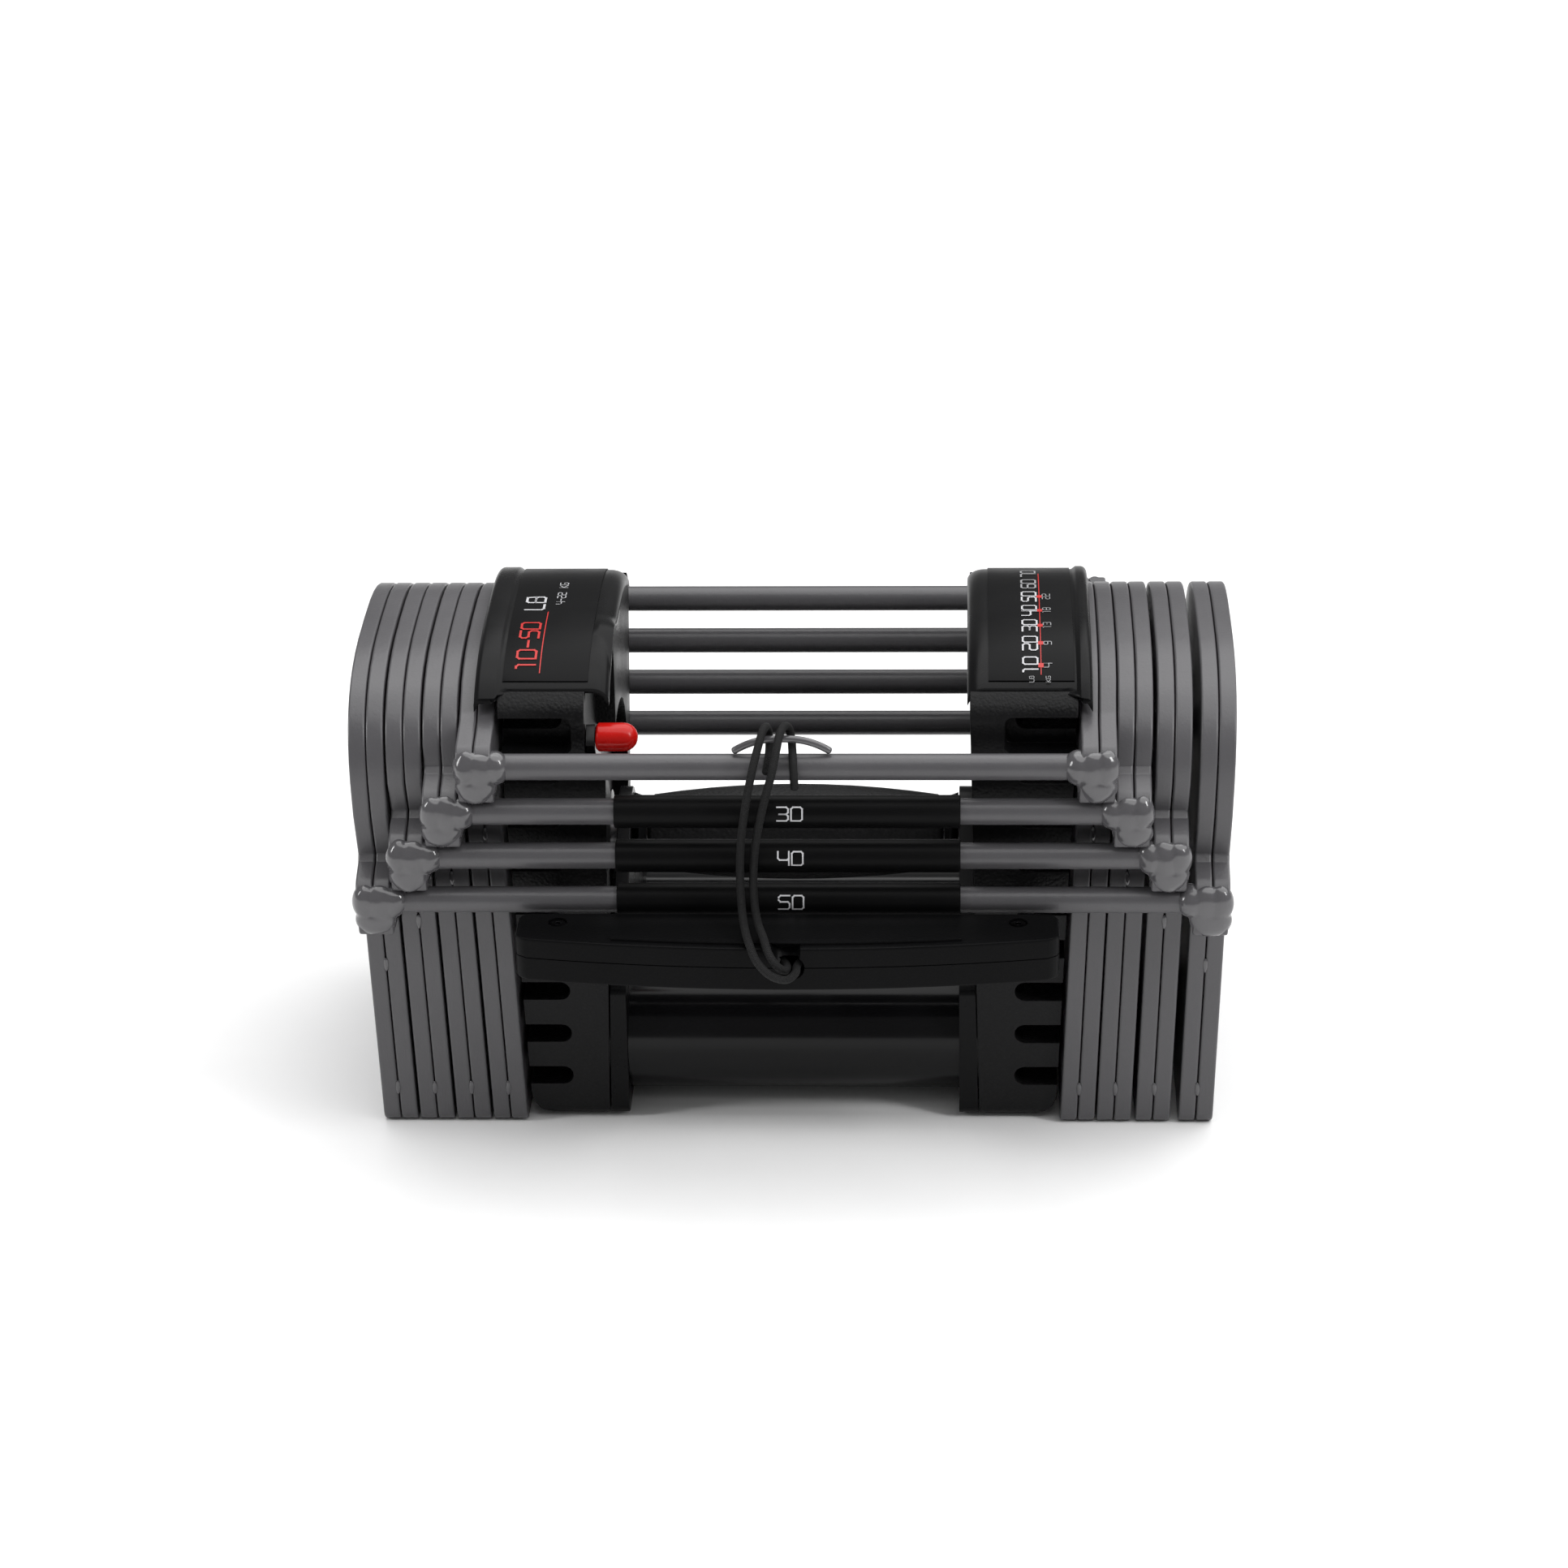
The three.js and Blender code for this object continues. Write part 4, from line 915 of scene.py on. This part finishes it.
def dome(side):
    """A dome: a curved cap with soft shoulders, a rim towards the plates and a lip at each end.

    Across the cap (X) a closed loop runs over the top from the inboard to the outboard edge,
    round a quarter circle at each, and back along the underside. Along the cap (depth Y) the
    loop is carried on the crown's curve, lowered at both ends so that the lips close. The
    outboard fifth is drawn further down as the rim over the plates, by a smooth step.
    """
    low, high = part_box(f"dome_{side}")
    way = -1 if side == "left" else 1
    near = (high.x if way < 0 else low.x) - HERE.x
    far = (low.x if way < 0 else high.x) - HERE.x
    near, far = abs(near) / MM, abs(far) / MM
    soft, crisp, wall = 6.0, 2.2, 1.3
    turn = np.linspace(0, math.pi / 2, 9)
    top_x = np.concatenate([
        near + soft - soft * np.cos(turn), np.linspace(near + soft, 97.4, 22)[1:-1],
        [97.6, 98.0, 98.5, 99.0, 99.4], far - crisp + crisp * np.sin(turn)])
    sink = np.concatenate([
        (soft - soft * np.sin(turn)) * 0.62, np.zeros(20), [0.0, -0.15, -0.5, -0.85, -1.0],
        -1.0 + crisp - crisp * np.cos(turn)])
    under_x = np.linspace(far, near, 24)
    grow = DOME_GROW - np.concatenate([sink, np.interp(under_x, top_x, sink) + wall])
    x = np.concatenate([top_x, under_x])
    rows = 121
    reach = 52.0 + 4.6 * smooth_step((x - 97.0) / 2.6)
    share = np.sin(np.linspace(-math.pi / 2, math.pi / 2, rows))
    share = 0.5 * share + 0.5 * np.linspace(-1, 1, rows)
    depth = share[:, None] * reach[None, :]
    height = crown_height(depth, grow[None, :])
    if side == "left":
        depth, height = over_lever(x, depth, height, np.arange(len(x)) < len(top_x))
    verts = np.stack([np.broadcast_to(HERE.x + way * x * MM, depth.shape), HERE.y + depth * MM,
                      height * MM], -1)
    count = len(x)
    quads = ring_quads(rows, count)
    # Each end is closed by joining the top of the loop to the underside below it.
    half = len(top_x)
    a = np.linspace(0, half - 1, 24).round().astype(int)
    b = count - 1 - np.arange(24)
    ends = []
    for start in (0, (rows - 1) * count):
        for m in range(23):
            upper = list(range(a[m], a[m + 1] + 1))
            ends.append([start + n for n in upper + [b[m + 1], b[m]]])
    made = make_object(f"dome_{side}_cap", verts.reshape(-1, 3), list(quads) + ends, satin_material(), "core")
    outward(made)
    bevel = made.modifiers.new("soft_lips", "BEVEL")
    bevel.width = 0.0009
    bevel.segments = 3
    bevel.limit_method = "ANGLE"
    bevel.angle_limit = math.radians(50)
    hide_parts(f"dome_{side}")


def over_lever(x, depth, height, on_top):
    """Depths and heights of the dome, moved clear of the lever's cap where it swings.

    The cap's outer side runs on a circle about the grip's axis. Inboard of the tower's face,
    and forward of upright, each point nearer than that circle is moved straight out to it,
    the top by one millimetre more than the underside. Smooth steps fade this out.
    """
    axis = middle("handle_tube").z / MM
    radius = np.hypot(depth, height - axis)
    forward = np.degrees(np.arctan2(-depth, height - axis))
    push = np.maximum((LEVER_CLEAR + on_top[None, :]) / radius, 1.0) - 1.0
    push *= smooth_step((forward - 4.0) / 10.0) * smooth_step((68.5 - x[None, :]) / 1.5)
    return depth * (1 + push), axis + (height - axis) * (1 + push)


def smooth_step(t):
    """A cubic step from 0 to 1 as t goes from 0 to 1."""
    t = np.clip(t, 0, 1)
    return t * t * (3 - 2 * t)


class DUMBBELL_OT_core(bpy.types.Operator):
    """Finishes the towers, domes, inner walls, grip, collars and cross tubes."""

    bl_idname = "dumbbell.core"
    bl_label = "Core"

    def execute(self, context):
        looks = context.scene.dumbbell_looks
        for side in SIDES:
            softened(f"tower_{side}", pebble_material(), edge=0.0016, segments=4)
            dome(side)
            softened(f"inner_wall_{side}", satin_material(), edge=0.0008)
            softened(f"grip_collar_{side}", satin_material(), edge=0.0)
        rubber = finish_material("rubber_pebbled", looks.rubber, "moulded_pebble", 800.0,
                                 rough=(0.5, 0.65), spread=0.15, bump=0.6, depth=0.0004, speck_and_crest_light=0.35,
                                 specular=0.2)
        softened("grip", rubber, edge=0.0, segments=1)
        enamel = finish_material("enamel_black", looks.enamel, "satin_marks", 300.0, rough=(0.12, 0.18),
                                 spread=0.1, bump=0.02, depth=0.0001, specular=0.2)
        for place in ("front", "rear"):
            node = f"cross_tube_{place}"
            low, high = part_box(node)
            half, radius = (high.x - low.x) / 2 / MM, (high.z - low.z) / 2 / MM
            profile = [(-half, radius - 1), (-half, radius), (0, radius), (half, radius), (half, radius - 1)]
            turned(f"tube_{place}", profile, middle(node), 96, enamel, "core", [node])
            softened(f"adder_weight_{place}", steel_material(), edge=0.0008)
        softened("handle_tube", steel_material(), edge=0.0005)
        return {"FINISHED"}


def on_dome(flat, x, y, lift):
    """Wraps flat points onto a dome.

    A point's first value is a distance along the dome's curve from depth y, its second a
    distance towards -X from x. The curve's length is summed in small steps and looked up.
    """
    depth = np.linspace(-52, 52, 1201)
    rise = crown_height(depth, DOME_GROW + lift)
    run = np.concatenate([[0], np.cumsum(np.hypot(np.diff(depth), np.diff(rise)))])
    where = np.interp(flat[:, 0] / MM + np.interp(y, depth, run), run, depth)
    return np.stack([HERE.x + (x - flat[:, 1] / MM) * MM, HERE.y + where * MM,
                     crown_height(where, DOME_GROW + lift) * MM], 1)


class DUMBBELL_OT_labels(bpy.types.Operator):
    """Adds the label films on the domes, with generic scales and lines."""

    bl_idname = "dumbbell.labels"
    bl_label = "Labels"

    def execute(self, context):
        looks = context.scene.dumbbell_looks
        film = finish_material("film_black", looks.plastic, "satin_marks", 500.0,
                               rough=(0.3, 0.38), spread=0.12, bump=0.04, depth=0.0001, specular=0.06)
        red = flat_print("ink_red", looks.accent)
        grey = flat_print("ink_grey", tuple(c * 0.5 for c in looks.print_))
        white = flat_print("ink_label", tuple(c * 0.85 for c in looks.print_))
        for side in SIDES:
            softened(f"label_{side}", film, edge=0.0)
        self.scale_right(white, grey, red)
        self.scale_left(white, red)
        return {"FINISHED"}

    def put(self, name, flat, faces, x, y, ink):
        """One printed shape on a dome."""
        make_object(name, on_dome(flat, x, y, 0.62), faces, ink, "core", smooth=False)

    def line(self, name, x, y, length, width, ink):
        """A printed line along a dome, in millimetres, its middle at depth y."""
        verts, faces = pen_line([(-length / 2, 0.0), (length / 2, 0.0)], width)
        self.put(name, verts * MM, faces, x, y, ink)

    def scale_right(self, white, grey, red):
        """Pounds, a red line with ticks, and kilograms, reading up the dome."""
        depths = np.linspace(-43.1, 30.5, 7)
        x = 82.2
        for i, (mark, y) in enumerate(zip(("10", "20", "30", "40", "50", "60", "70"), depths)):
            flat, faces = figures(mark, 4.9 * MM, pen=0.25)
            self.put(f"pounds_{mark}", flat, faces, x, y, white if i < 5 else grey)
        for mark, y in zip(("4", "9", "13", "18", "22"), depths):
            flat, faces = figures(mark, 2.6 * MM, pen=0.22)
            self.put(f"kilograms_{mark}", flat, faces, x + 6.0, y, grey)
            self.line(f"tick_{mark}", x + 3.6, y, 0.35, 1.8, red)
        self.line("scale_line", x + 3.6, -9.0, 78, 0.3, red)
        for mark, offset in (("LB", 0.4), ("KG", 6.0)):
            flat, faces = figures(mark, 1.5 * MM, pen=0.26)
            self.put(f"unit_{mark}", flat, faces, x + offset, -49.2, grey)

    def scale_left(self, white, red):
        """A generic weight range with a red underline."""
        for name, text, height, pen, x, y, ink in (
                ("range", "10-50", 6.4, 0.25, -89.6, -31.0, red),
                ("range_unit", "LB", 6.4, 0.25, -89.6, 0.5, white),
                ("range_metric", "4-22", 2.8, 0.22, -81.0, 5.0, white),
                ("range_metric_unit", "KG", 2.8, 0.22, -81.0, 17.5, white)):
            flat, faces = figures(text, height * MM, pen)
            self.put(name, flat, faces, x, y, ink)
        self.line("range_line", -84.6, -27.0, 40, 0.35, red)


class DUMBBELL_OT_lever(bpy.types.Operator):
    """Finishes the retaining lever and its dipped vinyl cap."""

    bl_idname = "dumbbell.lever"
    bl_label = "Lever"

    def execute(self, context):
        looks = context.scene.dumbbell_looks
        enamel = finish_material("enamel_lever", looks.enamel, "satin_marks", 500.0, rough=(0.25, 0.35),
                                 spread=0.1, bump=0.04, depth=0.0001, specular=0.3)
        softened("lever_arm", enamel, edge=0.0004)
        vinyl = finish_material("vinyl_red", looks.accent, "satin_marks", 260.0, rough=(0.2, 0.3),
                                spread=0.08, bump=0.08, depth=0.0002, coat=0.12, specular=0.25)
        softened("lever_cap", vinyl, edge=0.0)
        return {"FINISHED"}


class DUMBBELL_OT_pin(bpy.types.Operator):
    """Finishes the selector pin: handle halves, prongs and screws."""

    bl_idname = "dumbbell.pin"
    bl_label = "Selector pin"

    def execute(self, context):
        looks = context.scene.dumbbell_looks
        moulded = finish_material("pin_moulded", tuple(c * 0.7 for c in looks.plastic),
                                  "moulded_pebble", 1500.0, rough=(0.32, 0.42), spread=0.12,
                                  bump=0.14, depth=0.00015, speck_and_crest_light=0.2, specular=0.06)
        screw = finish_material("steel_black_oxide", (0.012, 0.012, 0.013), "satin_marks", 1400.0,
                                rough=(0.28, 0.4), spread=0.15, bump=0.1, depth=0.0001, metallic=1.0)
        for half in ("top", "bottom"):
            softened(f"pin_handle_{half}", moulded, edge=0.0005)
        for side in SIDES:
            softened(f"pin_prong_{side}", steel_material(), edge=0.0)
            softened(f"pin_screw_{side}", screw, edge=0.0002)
        return {"FINISHED"}


# ------------------------------------------------------------------ panel and running

STEPS = (
    DUMBBELL_OT_stage, DUMBBELL_OT_tether, DUMBBELL_OT_plates, DUMBBELL_OT_rails, DUMBBELL_OT_welds,
    DUMBBELL_OT_core, DUMBBELL_OT_labels, DUMBBELL_OT_lever, DUMBBELL_OT_pin,
)


class DUMBBELL_PT_panel(bpy.types.Panel):
    """The sidebar panel with every build step."""

    bl_label = "Dumbbell"
    bl_idname = "DUMBBELL_PT_panel"
    bl_space_type = "VIEW_3D"
    bl_region_type = "UI"
    bl_category = "Dumbbell"

    def draw(self, context):
        for step in STEPS:
            self.layout.operator(step.bl_idname)
        for group in (context.scene.dumbbell_looks, context.scene.dumbbell_stage):
            for name in group.__annotations__:
                self.layout.prop(group, name)


CLASSES = (DumbbellLooks, DumbbellStage, *STEPS, DUMBBELL_PT_panel)


def register():
    for cls in CLASSES:
        bpy.utils.register_class(cls)
    bpy.types.Scene.dumbbell_looks = bpy.props.PointerProperty(type=DumbbellLooks)
    bpy.types.Scene.dumbbell_stage = bpy.props.PointerProperty(type=DumbbellStage)


def unregister():
    del bpy.types.Scene.dumbbell_stage
    del bpy.types.Scene.dumbbell_looks
    for cls in reversed(CLASSES):
        bpy.utils.unregister_class(cls)


def main():
    register()
    for step in STEPS:
        group, name = step.bl_idname.split(".")
        getattr(getattr(bpy.ops, group), name)()


if __name__ == "__main__":
    main()
